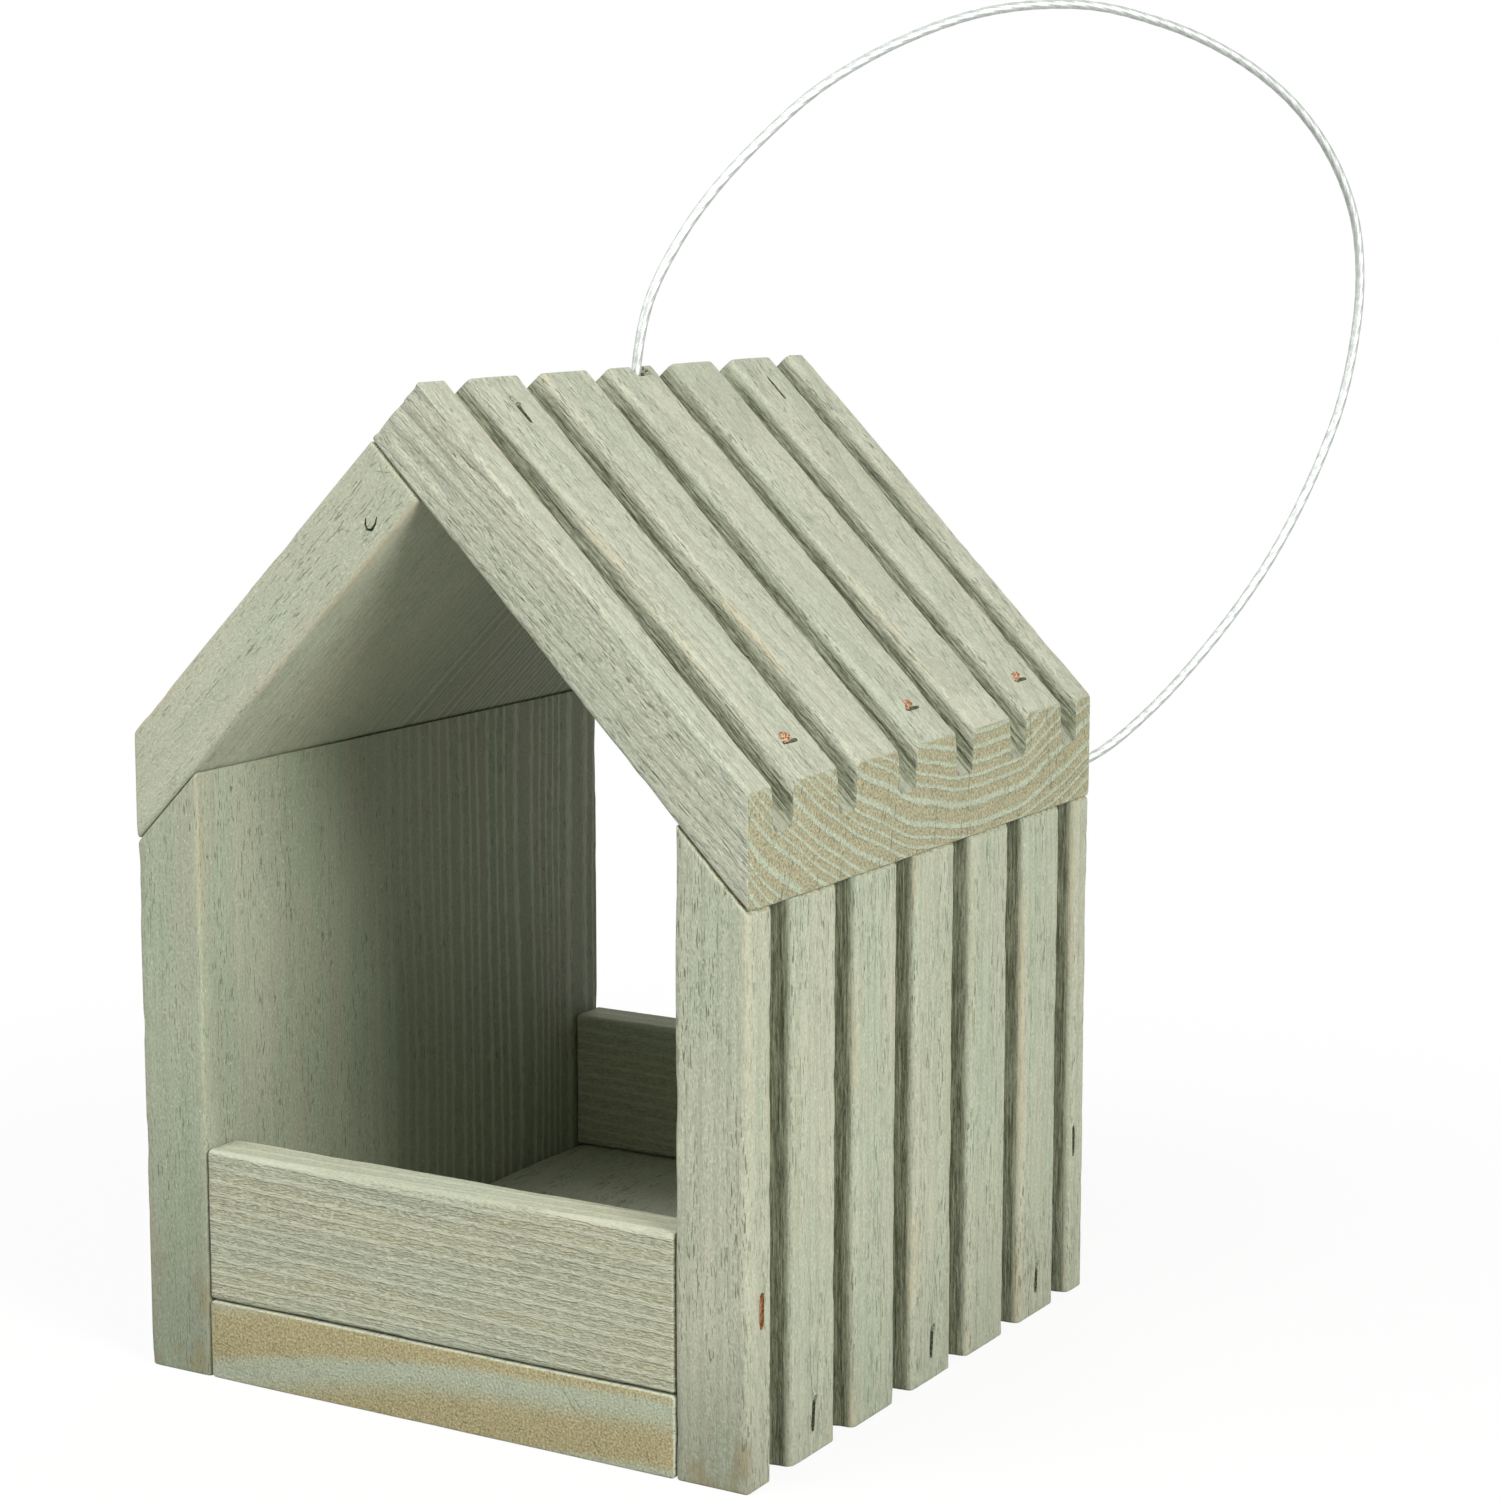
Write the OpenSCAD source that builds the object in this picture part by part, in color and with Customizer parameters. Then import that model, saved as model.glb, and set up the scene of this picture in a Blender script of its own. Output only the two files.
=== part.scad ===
// Open-fronted hanging bird house. Two grooved boards are the walls and two more are the roof.
// The origin is on the ground under the middle of the house, +Z is up and the front faces -Y.

/* [House] */
// Width over the outsides of the two walls
house_w = 140; // [110:1:180]
// Height of a wall at its outer face
wall_h = 107.5; // [80:0.5:150]

/* [Grooved boards] */
// Width of the board, which is the depth of the house
board_w = 142; // [110:1:180]
// Thickness of the board
board_t = 15.5; // [12:0.5:20]
// Width of one groove at its mouth
groove_w = 7.6; // [6:0.2:12]
// Depth of one groove
groove_d = 6; // [4:0.5:8]
// How far each side of a groove leans in by its floor
groove_taper = 0.9; // [0:0.1:1.5]
// Width of a full slat between two grooves
slat_w = 16.2; // [10:0.2:20]
// Width of the narrow slat at the front edge of the board
edge_slat_w = 8.5; // [6:0.5:12]
// Narrowest slat left at the back edge of the board
least_slat_w = 5.5; // [4.5:0.5:8]
// Radius of the eased edges of the slats
slat_ease = 1.4; // [0.4:0.2:2]

/* [Floor and rails] */
// Thickness of the floor board
floor_t = 16; // [12:0.5:22]
// Height of the front and back rails
rail_h = 31; // [20:1:45]
// Thickness of the rails
rail_t = 10; // [8:0.5:15]
// Radius of the eased edges of the rails
rail_ease = 2; // [0.5:0.5:3]

/* [Staples] */
// Width over the crown of a staple
crown_w = 6; // [5:0.5:8]
// Side of the square staple wire
wire_w = 1.1; // [0.8:0.1:1.6]
// Length of a staple leg, crown included
leg_l = 27; // [24:1:32]
// Depth of a crown below the face of the wood
crown_sink = 0.9; // [0.2:0.1:2]
// Height of the rail staples above the floor board
rail_staple_up = 17.5; // [8:0.5:25]
// Distance of the ridge staples down the slope from the ridge
ridge_staple_down = 9; // [6:0.5:11]
// Distance of the eave staples in from the outer face of the wall
eave_staple_in = 5.5; // [3:0.5:8]

/* [Hanging loop] */
// Diameter of the steel cable
cable_d = 2; // [1.4:0.1:2.4]
// Diameter of the hole at the ridge
hole_d = 4; // [3.4:0.1:6]
// Distance of the hole behind the middle of the ridge
hole_back = 2.5; // [0:0.5:6]
// Angle from +X to the plane of the loop as it stands
loop_turn = 54; // [53:1:60]
// Diameter of the ferrule that joins the ends of the cable
ferrule_d = 5; // [4.4:0.1:6]
// Length of the ferrule
ferrule_l = 10; // [8:0.5:14]
// Drop from the inner ridge line to the ferrule
ferrule_drop = 5; // [4:0.5:8]

/* [Hidden] */
$fn = 32;

// The roof boards meet square at the ridge, so the pitch is half a right angle
pitch = 45;
slope_t = board_t / cos(pitch);
wall_in = house_w / 2 - board_t;
inner_wall_h = wall_h + board_t * tan(pitch);
inner_ridge_h = wall_h + house_w / 2 * tan(pitch);
ridge_h = inner_ridge_h + slope_t;
lap = board_t * sin(pitch);

// Length of a roof board before its eave end is cut plumb, and how far a cutter passes the face it cuts
uncut_roof_l = house_w;
overshoot = 3;

// Slats and grooves across the board, counted from the front edge
groove_step = slat_w + groove_w;
groove_n = 1 + floor((board_w - edge_slat_w - groove_w - least_slat_w) / groove_step);
function slat_from(i) = i == 0 ? 0 : edge_slat_w + groove_w + (i - 1) * groove_step;
function slat_to(i) = i == groove_n ? board_w : i == 0 ? edge_slat_w : slat_from(i) + slat_w;
function slat_y(i) = (slat_from(i) + slat_to(i)) / 2 - board_w / 2;

// Slats that hold staples
outer_slats = [slat_y(1), slat_y(groove_n - 1)];
staple_slats = [slat_y(1), slat_y(round(groove_n / 2)), slat_y(groove_n - 1)];
rail_y = board_w / 2 - rail_t / 2;

// Colours of the stained wood, its sawn rails, the steel and the aluminium
stain = [0.69, 0.72, 0.62];
sawn_stain = [0.66, 0.68, 0.56];
steel = [0.72, 0.74, 0.74];
ferrule_metal = [0.78, 0.79, 0.8];

// Heights of the two ends of the ferrule from the ridge, its chamfer, and its crimps' width and depth
ferrule_top = -slope_t - ferrule_drop;
ferrule_foot = ferrule_top - ferrule_l;
ferrule_chamfer = 0.5;
crimp_w = 2;
crimp_d = 0.35;

// Sides of the cable's section, and steps of its curve between two points of its route
cable_sides = 8;
cable_steps = 2;

// Route of the cable in the plane of the loop: distance out from the hole, and height from the ridge.
// It climbs through the hole, goes round over the right side and comes back in through the open back.
loop_route = [[0, -13.5], [0.5, 0.5], [3.5, 13.5], [10.5, 26], [19, 36.5], [29, 46], [39.5, 54.5],
              [51.5, 61.5], [64, 67], [77, 71], [90.5, 73], [104.5, 73], [118, 70.5], [131, 66.5],
              [143.5, 60.5], [154.5, 52.5], [163.5, 42], [169.5, 29.5], [171.5, 16], [170.5, 2.5],
              [167.5, -11], [162.5, -23.5], [156, -36], [148.5, -47.5], [140, -58], [130.5, -68],
              [120.5, -77], [109, -85], [96, -90], [83, -93], [69, -93], [55.5, -91], [42.5, -86.5],
              [30.5, -80], [19, -72], [9.5, -62], [2.5, -50.5]];
route = concat([[0, ferrule_top]], loop_route, [[0, ferrule_foot]]);

// Smooth curve through the route, a share u of the way from point i to the next, upright at both ends
route_end = len(route) - 1;
function route_at(i) = i < 0 ? [route[1][0], 2 * route[0][1] - route[1][1]]
    : i > route_end ? [route[route_end - 1][0], 2 * route[route_end][1] - route[route_end - 1][1]] : route[i];
function between(a, b, c, d, u) =
    (2 * b + (c - a) * u + (2 * a - 5 * b + 4 * c - d) * u * u + (3 * b - 3 * c + d - a) * u * u * u) / 2;
function along(i, u) = between(route_at(i - 1), route_at(i), route_at(i + 1), route_at(i + 2), u);
centre_line = [for (i = [0 : route_end - 1], k = [0 : cable_steps - 1]) along(i, k / cable_steps),
               route[route_end]];
ring_n = len(centre_line);

// Direction of the cable at a ring, upright at the ferrule, and that ring's points
function heading(i) = i == 0 || i == ring_n - 1 ? [0, 1] : centre_line[i + 1] - centre_line[i - 1];
function ring(i) =
    let (h = heading(i), side = [h[1], -h[0]] / norm(h), c = centre_line[i], r = cable_d / 2)
    [for (k = [0 : cable_sides - 1]) let (a = 360 * k / cable_sides)
        [c[0] + r * cos(a) * side[0], r * sin(a), c[1] + r * cos(a) * side[1]]];

// Outline of one slat, from the inner face of the board, with its two outer edges eased
module slat_section(w) {
    translate([slat_ease, 0]) square([w - 2 * slat_ease, board_t]);
    for (x = [slat_ease, w - slat_ease]) translate([x, board_t - slat_ease]) circle(slat_ease);
}

// Room of one groove, whose sides lean in toward its floor, cut up to where the easing of the slats starts
module groove_room(i) {
    polygon([[slat_to(i - 1) + groove_taper, board_t - groove_d], [slat_from(i) - groove_taper, board_t - groove_d],
             [slat_from(i), board_t - slat_ease], [slat_from(i), board_t], [slat_to(i - 1), board_t],
             [slat_to(i - 1), board_t - slat_ease]]);
}

// Cross-section of the grooved board
module grooved_section() {
    difference() {
        square([board_w, board_t - slat_ease]);
        for (i = [1 : groove_n]) groove_room(i);
    }
    for (i = [0 : groove_n]) translate([slat_from(i), 0]) slat_section(slat_to(i) - slat_from(i));
}

// Grooved board lying flat along +X with its grooves up
module grooved_board(length) {
    translate([0, -board_w / 2, 0]) rotate([90, 0, 90]) linear_extrude(length) grooved_section();
}

// Staple at the face of the wood, with its crown along X and its legs down -Z
module staple() {
    translate([-crown_w / 2, -wire_w / 2, -crown_sink - wire_w]) cube([crown_w, wire_w, wire_w]);
    for (x = [-crown_w / 2, crown_w / 2 - wire_w])
        translate([x, -wire_w / 2, -crown_sink - leg_l]) cube([wire_w, wire_w, leg_l]);
}

// Pocket that a staple leaves: its own shape and the slot above its crown
module staple_pocket() {
    staple();
    translate([-crown_w / 2, -wire_w / 2, -crown_sink - wire_w])
        cube([crown_w, wire_w, crown_sink + wire_w + overshoot]);
}

// Places of the staples on the right side of the house
module at_floor_staples() {
    for (y = staple_slats) translate([house_w / 2, y, floor_t / 2]) rotate([0, 90, 0]) children();
}

module at_rail_staples() {
    for (y = [-rail_y, rail_y])
        translate([house_w / 2, y, floor_t + rail_staple_up]) rotate([0, 90, 0]) children();
}

module at_eave_staples() {
    for (y = staple_slats)
        translate([house_w / 2 - eave_staple_in, y, wall_h + slope_t + eave_staple_in * tan(pitch) - wire_w])
            rotate([0, 0, 90]) children();
}

module at_ridge_staples() {
    for (y = outer_slats)
        translate([0, y, ridge_h]) rotate([0, pitch, 0]) translate([ridge_staple_down, 0, 0]) children();
}

// Hole for the cable, drilled down through both roof boards at the ridge
module ridge_hole() {
    translate([0, hole_back, inner_ridge_h - hole_d]) cylinder(d = hole_d, h = slope_t + 2 * hole_d);
}

// Space between the planes of the outer wall faces, where the eaves are cut plumb
module between_eaves() {
    translate([-house_w / 2, -board_w, 0]) cube([house_w, 2 * board_w, ridge_h + overshoot]);
}

module wall_shape() {
    difference() {
        intersection() {
            translate([wall_in, 0, inner_wall_h]) rotate([0, 90, 0]) grooved_board(inner_wall_h);
            translate([0, board_w, 0]) rotate([90, 0, 0]) linear_extrude(2 * board_w)
                polygon([[wall_in, 0], [house_w / 2, 0], [house_w / 2, wall_h], [wall_in, inner_wall_h]]);
        }
        at_floor_staples() staple_pocket();
        at_rail_staples() staple_pocket();
        at_eave_staples() staple_pocket();
    }
}

module left_wall() {
    color(stain) mirror([1, 0, 0]) wall_shape();
}

module right_wall() {
    color(stain) wall_shape();
}

// The right roof board laps over the end of the left one
module right_roof() {
    color(stain) difference() {
        intersection() {
            translate([-lap, 0, inner_ridge_h + lap]) rotate([0, pitch, 0]) grooved_board(uncut_roof_l);
            between_eaves();
        }
        ridge_hole();
        at_eave_staples() staple_pocket();
        at_ridge_staples() staple_pocket();
    }
}

module left_roof() {
    color(stain) difference() {
        mirror([1, 0, 0]) difference() {
            intersection() {
                translate([0, 0, inner_ridge_h]) rotate([0, pitch, 0]) grooved_board(uncut_roof_l);
                between_eaves();
            }
            at_eave_staples() staple_pocket();
        }
        ridge_hole();
        at_ridge_staples() staple_pocket();
    }
}

module floor_board() {
    color(stain) difference() {
        translate([-wall_in, -board_w / 2, 0]) cube([2 * wall_in, board_w, floor_t]);
        at_floor_staples() staple_pocket();
        mirror([1, 0, 0]) at_floor_staples() staple_pocket();
    }
}

// Cross-section of a rail, with all four long edges eased
module rail_section() {
    translate([rail_ease, 0]) square([rail_t - 2 * rail_ease, rail_h]);
    translate([0, rail_ease]) square([rail_t, rail_h - 2 * rail_ease]);
    for (x = [rail_ease, rail_t - rail_ease], y = [rail_ease, rail_h - rail_ease])
        translate([x, y]) circle(rail_ease);
}

module rail(front_y) {
    color(sawn_stain) difference() {
        translate([-wall_in, front_y, floor_t]) rotate([90, 0, 90]) linear_extrude(2 * wall_in)
            rail_section();
        at_rail_staples() staple_pocket();
        mirror([1, 0, 0]) at_rail_staples() staple_pocket();
    }
}

module front_rail() {
    rail(-board_w / 2);
}

module back_rail() {
    rail(board_w / 2 - rail_t);
}

module left_floor_staples() {
    color(steel) mirror([1, 0, 0]) at_floor_staples() staple();
}

module right_floor_staples() {
    color(steel) at_floor_staples() staple();
}

module left_rail_staples() {
    color(steel) mirror([1, 0, 0]) at_rail_staples() staple();
}

module right_rail_staples() {
    color(steel) at_rail_staples() staple();
}

module left_eave_staples() {
    color(steel) mirror([1, 0, 0]) at_eave_staples() staple();
}

module right_eave_staples() {
    color(steel) at_eave_staples() staple();
}

module ridge_staples() {
    color(steel) at_ridge_staples() staple();
}

// Frame of the loop: its origin is on the ridge over the hole and its X runs out along the loop
module loop_frame() {
    translate([0, hole_back, ridge_h]) rotate([0, 0, loop_turn]) children();
}

// Crimped sleeve that holds both ends of the cable, with its two crimped necks
module cable_ferrule() {
    r = ferrule_d / 2;
    neck = r - crimp_d;
    color(ferrule_metal) loop_frame() translate([0, 0, ferrule_foot]) rotate_extrude()
        polygon([[0, 0], [r - ferrule_chamfer, 0], [r, ferrule_chamfer],
                 [r, ferrule_l / 2 - crimp_w - crimp_d], [neck, ferrule_l / 2 - crimp_w],
                 [neck, ferrule_l / 2 - crimp_d], [r, ferrule_l / 2],
                 [neck, ferrule_l / 2 + crimp_d], [neck, ferrule_l / 2 + crimp_w],
                 [r, ferrule_l / 2 + crimp_w + crimp_d], [r, ferrule_l - ferrule_chamfer],
                 [r - ferrule_chamfer, ferrule_l], [0, ferrule_l]]);
}

module hanging_cable() {
    n = cable_sides;
    side_faces = [for (i = [0 : ring_n - 2], k = [0 : n - 1], half = [0, 1])
        let (a = i * n + k, b = i * n + (k + 1) % n)
        half == 0 ? [a, b, a + n] : [b, b + n, a + n]];
    last = (ring_n - 1) * n;
    start_cap = [for (k = [1 : n - 2]) [0, k + 1, k]];
    end_cap = [for (k = [1 : n - 2]) [last, last + k, last + k + 1]];
    color(steel) loop_frame() polyhedron([for (i = [0 : ring_n - 1]) each ring(i)],
        concat(side_faces, start_cap, end_cap));
}

left_wall();
right_wall();
left_roof();
right_roof();
floor_board();
front_rail();
back_rail();
left_floor_staples();
right_floor_staples();
left_rail_staples();
right_rail_staples();
left_eave_staples();
right_eave_staples();
ridge_staples();
cable_ferrule();
hanging_cable();
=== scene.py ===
"""Open-fronted hanging bird house of grooved, stained pine, dressed for its picture.

Boards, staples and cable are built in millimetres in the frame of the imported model, and every board keeps
its own coordinates in mm, along the grain, across and outward, so that its rings, pores and wear follow it.
"""
import itertools
import logging
import math
from dataclasses import dataclass, field
from enum import Enum
from typing import Any, Sequence

import bmesh
import bpy
import numpy as np
from mathutils import Matrix, Vector


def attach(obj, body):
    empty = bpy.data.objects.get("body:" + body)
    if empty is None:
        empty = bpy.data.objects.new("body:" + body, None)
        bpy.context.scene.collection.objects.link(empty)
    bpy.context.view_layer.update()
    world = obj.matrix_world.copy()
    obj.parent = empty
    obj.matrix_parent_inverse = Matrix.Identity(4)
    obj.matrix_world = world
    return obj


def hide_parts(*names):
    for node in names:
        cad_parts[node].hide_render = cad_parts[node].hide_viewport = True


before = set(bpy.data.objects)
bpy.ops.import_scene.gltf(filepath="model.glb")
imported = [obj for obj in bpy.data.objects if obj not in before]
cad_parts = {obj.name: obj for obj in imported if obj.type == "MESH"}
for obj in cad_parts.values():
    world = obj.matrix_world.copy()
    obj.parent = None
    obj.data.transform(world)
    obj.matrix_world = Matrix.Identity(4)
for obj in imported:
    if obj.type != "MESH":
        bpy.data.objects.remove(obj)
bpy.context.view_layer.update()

LOG = logging.getLogger("bird_house")
MM = 0.001
HOUSE = "house"
LOOP = "hanging_loop"
# Edges that bend by more than this are drawn sharp
SHARP_DEG = 40.0
# A dried acrylic stain on wood, whose gloss is broken by the fibres
STAIN_IOR = 1.47
STAIN_GLOSS = 0.35
# Multipliers that scatter the numbers of a cell, and of a seed
CELL_PRIMES = (374761393, 668265263, 1440662683)
SEED_STEP = 974634777
# A point this near to the plane that ends a board lies on its end grain
ON_END_MM = 0.04
# A sound cut leaves a board at least this share of its faces
LEAST_LEFT = 0.9
# Faces that round the corner of a board's section, and that round the edge of its end
ARC_STEPS = 4


def srgb(hex_colour: str) -> tuple[float, float, float, float]:
    """Turns a colour as it is seen into the linear values that a shader takes.

    Args:
        hex_colour: sRGB colour, such as "#B9BDA8".

    Returns:
        Linear red, green and blue, and an alpha of 1.
    """
    levels = [int(hex_colour[i:i + 2], 16) / 255 for i in (1, 3, 5)]
    linear = [c / 12.92 if c <= 0.04045 else ((c + 0.055) / 1.055) ** 2.4 for c in levels]
    return (linear[0], linear[1], linear[2], 1.0)


def add_node(tree: bpy.types.NodeTree, kind: str, inputs: dict[int | str, Any] | None = None,
             **settings: Any) -> bpy.types.Node:
    """Adds a node with its settings, and links or fills its inputs.

    Args:
        tree: the node tree that gets the node.
        kind: Blender's name for the node's type.
        inputs: what goes into each input: a node, which gives its first output in use, or one of its
            outputs, or a plain value.
        settings: properties of the node.

    Returns:
        The new node.
    """
    node = tree.nodes.new(kind)
    for name, value in settings.items():
        setattr(node, name, value)
    for key, value in (inputs or {}).items():
        if isinstance(value, bpy.types.Node):
            value = next(output for output in value.outputs if output.enabled)
        if isinstance(value, bpy.types.NodeSocket):
            tree.links.new(value, node.inputs[key])
        else:
            node.inputs[key].default_value = value
    return node


def drawn_noise(tree: bpy.types.NodeTree, spot: bpy.types.Node, long_mm: float, wide_mm: float,
                detail: float = 2.0) -> bpy.types.Node:
    """Noise drawn out along the grain, the fibres' own pattern.

    Args:
        tree: the material's nodes.
        spot: the board's own coordinates in mm.
        long_mm: length of a cell, along the grain.
        wide_mm: width of a cell.
        detail: how many finer noises are added.

    Returns:
        The noise, around 0.5. Nearly all of it lies from 0.3 to 0.7, so the ranges that turn it into patches,
        lines or pores start and end between these.
    """
    scaled = add_node(tree, "ShaderNodeVectorMath", {0: spot, 1: (1 / long_mm, 1 / wide_mm, 1 / wide_mm)},
                      operation="MULTIPLY")
    return add_node(tree, "ShaderNodeTexNoise", {"Vector": scaled, "Scale": 1.0, "Detail": detail,
                                                 "Roughness": 0.55})


def smooth_noise(points: np.ndarray, seed: int) -> np.ndarray:
    """Smooth random values that are the same on each run.

    Args:
        points: places, with three numbers in the last dimension, in cells of one unit.
        seed: picks the pattern.

    Returns:
        One value from -1 to 1 for each place.
    """
    base = np.floor(points).astype(np.int64)
    share = points - base
    share = share * share * (3 - 2 * share)
    total = np.zeros(points.shape[:-1])
    for corner in itertools.product((0, 1), repeat=3):
        # Large primes and shifts scatter each cell's number, so that neighbours have nothing in common
        mixed = (base + np.array(corner)) @ np.array(CELL_PRIMES) + seed * SEED_STEP
        mixed = (mixed ^ (mixed >> 13)) * 1274126177 & 0x7FFFFFFF
        mixed = (mixed ^ (mixed >> 16)) & 0xFFFF
        weight = np.prod(np.where(np.array(corner) == 1, share, 1 - share), axis=-1)
        total += weight * (mixed / 32767.5 - 1)
    return total


def fade(value: np.ndarray, low: float, high: float) -> np.ndarray:
    """A smooth step from 0 at low to 1 at high, either way round."""
    share = np.clip((value - low) / (high - low), 0, 1)
    return share * share * (3 - 2 * share)


def unit(way: Sequence[float]) -> np.ndarray:
    """A direction at length 1."""
    return np.array(way, float) / np.linalg.norm(way)


def from_house(azimuth_deg: float, elevation_deg: float) -> Vector:
    """The direction from the house at degrees round from its front towards its right, and degrees up."""
    az, el = math.radians(azimuth_deg), math.radians(elevation_deg)
    return Vector((math.sin(az) * math.cos(el), -math.cos(az) * math.cos(el), math.sin(el)))


class Surface(Enum):
    """How a face of a board was made, which sets how far it strays from flat."""

    PLANED = 0
    ARRIS = 1
    SAWN = 2
    TORN = 3
    FRONT = 4


@dataclass(frozen=True)
class Axes:
    """Where a board lies in the house, in mm: its origin and its own three directions."""

    origin: tuple[float, float, float]
    grain: tuple[float, float, float]
    across: tuple[float, float, float]
    outward: tuple[float, float, float]

    def rows(self) -> np.ndarray:
        """The three directions as unit vectors, one to a row."""
        return np.array([unit(self.grain), unit(self.across), unit(self.outward)])

    def place(self, local: np.ndarray) -> np.ndarray:
        """Turns the board's own coordinates into the house's."""
        return np.array(self.origin) + local @ self.rows()

    def local(self, placed: np.ndarray) -> np.ndarray:
        """Turns the house's coordinates into the board's own."""
        return (placed - np.array(self.origin)) @ self.rows().T

    def handed(self) -> float:
        """1 where across, outward and grain are right-handed, or else -1."""
        rows = self.rows()
        return float(np.sign(np.dot(np.cross(rows[1], rows[2]), rows[0])))


@dataclass(frozen=True)
class Corner:
    """A corner of a board's section, and the face that runs from it to the next corner.

    Spacing is the distance from point to point along that face, in mm.
    """

    across: float
    outward: float
    radius: float
    surface: Surface
    spacing: float


@dataclass(frozen=True)
class EndCut:
    """The plane that ends a board: its place along the grain, and how far that shifts per mm outward."""

    at: float
    lean: float = 0.0


@dataclass(frozen=True)
class Section:
    """A board's outline as points with outward normals and the surface that each lies on."""

    points: np.ndarray
    normals: np.ndarray
    surfaces: np.ndarray

    def weight(self, kind: Surface) -> np.ndarray:
        """How far each point belongs to a kind of surface, softened where that ends.

        Args:
            kind: the surface.

        Returns:
            A row of values from 0 to 1, one for each point.
        """
        share = (self.surfaces == kind.value).astype(float)
        for _ in range(2):
            share = (np.roll(share, 1) + 2 * share + np.roll(share, -1)) / 4
        return share[None, :]


def section_of(corners: Sequence[Corner]) -> Section:
    """Rounds the corners of an outline and spreads points along its faces.

    Args:
        corners: the corners, counter-clockwise with across to the right and outward up.

    Returns:
        The section, as a closed ring of points.
    """
    points, normals, surfaces = [], [], []
    count = len(corners)
    spots = [np.array([c.across, c.outward]) for c in corners]
    ends = []
    for i, corner in enumerate(corners):
        into, out = unit(spots[i] - spots[i - 1]), unit(spots[(i + 1) % count] - spots[i])
        turn = math.atan2(into[0] * out[1] - into[1] * out[0], float(into @ out))
        reach = corner.radius * math.tan(abs(turn) / 2)
        first = np.array([into[1], -into[0]])
        side = 1 if turn > 0 else -1
        centre = spots[i] - into * reach - side * corner.radius * first
        arc = []
        for k in range(ARC_STEPS + 1):
            angle = turn * k / ARC_STEPS
            normal = np.array([first[0] * math.cos(angle) - first[1] * math.sin(angle),
                               first[0] * math.sin(angle) + first[1] * math.cos(angle)])
            arc.append((centre + side * corner.radius * normal, normal))
        ends.append((arc, Surface.ARRIS if turn > 0 else Surface.TORN))
    for i, corner in enumerate(corners):
        arc, kind = ends[i]
        for spot, normal in arc:
            points.append(spot)
            normals.append(normal)
            surfaces.append(kind.value)
        start, finish = arc[-1][0], ends[(i + 1) % count][0][0][0]
        length = float(np.linalg.norm(finish - start))
        steps = max(1, round(length / corner.spacing))
        for k in range(1, steps):
            points.append(start + (finish - start) * k / steps)
            normals.append(arc[-1][1])
            surfaces.append(corner.surface.value)
    return Section(np.array(points), np.array(normals), np.array(surfaces))


@dataclass
class Mould:
    """A closed mesh in mm, before it becomes an object."""

    points: np.ndarray
    faces: list[tuple[int, ...]]

    def make(self, name: str, material: bpy.types.Material, sharp_deg: float = SHARP_DEG) -> bpy.types.Object:
        """Makes the object, in metres, with smooth faces and sharp edges past an angle.

        Args:
            name: the object's name.
            material: its material.
            sharp_deg: edges that bend by more than this stay sharp.

        Returns:
            The object, linked to the scene.
        """
        mesh = bpy.data.meshes.new(name)
        mesh.from_pydata((self.points * MM).tolist(), [], self.faces)
        mesh.validate()
        mesh.shade_smooth()
        mesh.set_sharp_from_angle(angle=math.radians(sharp_deg))
        mesh.materials.append(material)
        made = bpy.data.objects.new(name, mesh)
        bpy.context.scene.collection.objects.link(made)
        return made

    def mirrored(self) -> "Mould":
        """The same mesh on the other side of the house, with its faces still outward."""
        return Mould(self.points * (-1, 1, 1), [tuple(reversed(face)) for face in self.faces])


def tube(points: Sequence[np.ndarray] | np.ndarray, count: int, turned: bool = False) -> Mould:
    """A closed mesh of rings of points, one after another, with a face on each end.

    Args:
        points: the rings' points, ring by ring.
        count: how many points a ring has.
        turned: whether the rings run clockwise as seen from the first end's outside, not against it.

    Returns:
        The mesh, with its faces outward.
    """
    last = len(points) - count
    faces = [tuple(reversed(range(count))), tuple(range(last, last + count))]
    for start in range(0, last, count):
        for k in range(count):
            n = (k + 1) % count
            faces.append((start + k, start + n, start + count + n, start + count + k))
    if turned:
        faces = [tuple(reversed(face)) for face in faces]
    return Mould(np.array(points), faces)


def merged(shapes: Sequence[Mould]) -> Mould:
    """Several separate meshes as one.

    Args:
        shapes: the meshes.

    Returns:
        One mesh that holds them all.
    """
    faces: list[tuple[int, ...]] = []
    shift = 0
    for shape in shapes:
        faces += [tuple(i + shift for i in face) for face in shape.faces]
        shift += len(shape.points)
    return Mould(np.vstack([shape.points for shape in shapes]), faces)


def split_ends(mesh: bpy.types.Mesh) -> None:
    """Splits faces of more than four corners into triangles, which cuts can't spoil.

    Args:
        mesh: the mesh that is changed.
    """
    form = bmesh.new()
    form.from_mesh(mesh)
    bmesh.ops.triangulate(form, faces=[face for face in form.faces if len(face.verts) > 4])
    form.to_mesh(mesh)
    form.free()


def carve(piece: bpy.types.Object, cutter: bpy.types.Object) -> None:
    """Cuts one object out of another and deletes the cutter. The cut faces keep the cutter's material.

    Args:
        piece: the object that is cut.
        cutter: the closed object that is taken out of it.

    Raises:
        RuntimeError: if the cut has spoilt the piece.
    """
    cut = piece.modifiers.new("cut", "BOOLEAN")
    cut.operation, cut.solver, cut.object, cut.material_mode = "DIFFERENCE", "MANIFOLD", cutter, "TRANSFER"
    bpy.context.view_layer.update()
    result = bpy.data.meshes.new_from_object(piece.evaluated_get(bpy.context.evaluated_depsgraph_get()))
    piece.modifiers.clear()
    if len(result.polygons) < LEAST_LEFT * len(piece.data.polygons):
        raise RuntimeError(f"{cutter.name} has taken most of {piece.name} away")
    old, piece.data = piece.data, result
    result.name = piece.name
    bpy.data.meshes.remove(old)
    old = cutter.data
    bpy.data.objects.remove(cutter)
    bpy.data.meshes.remove(old)


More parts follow.
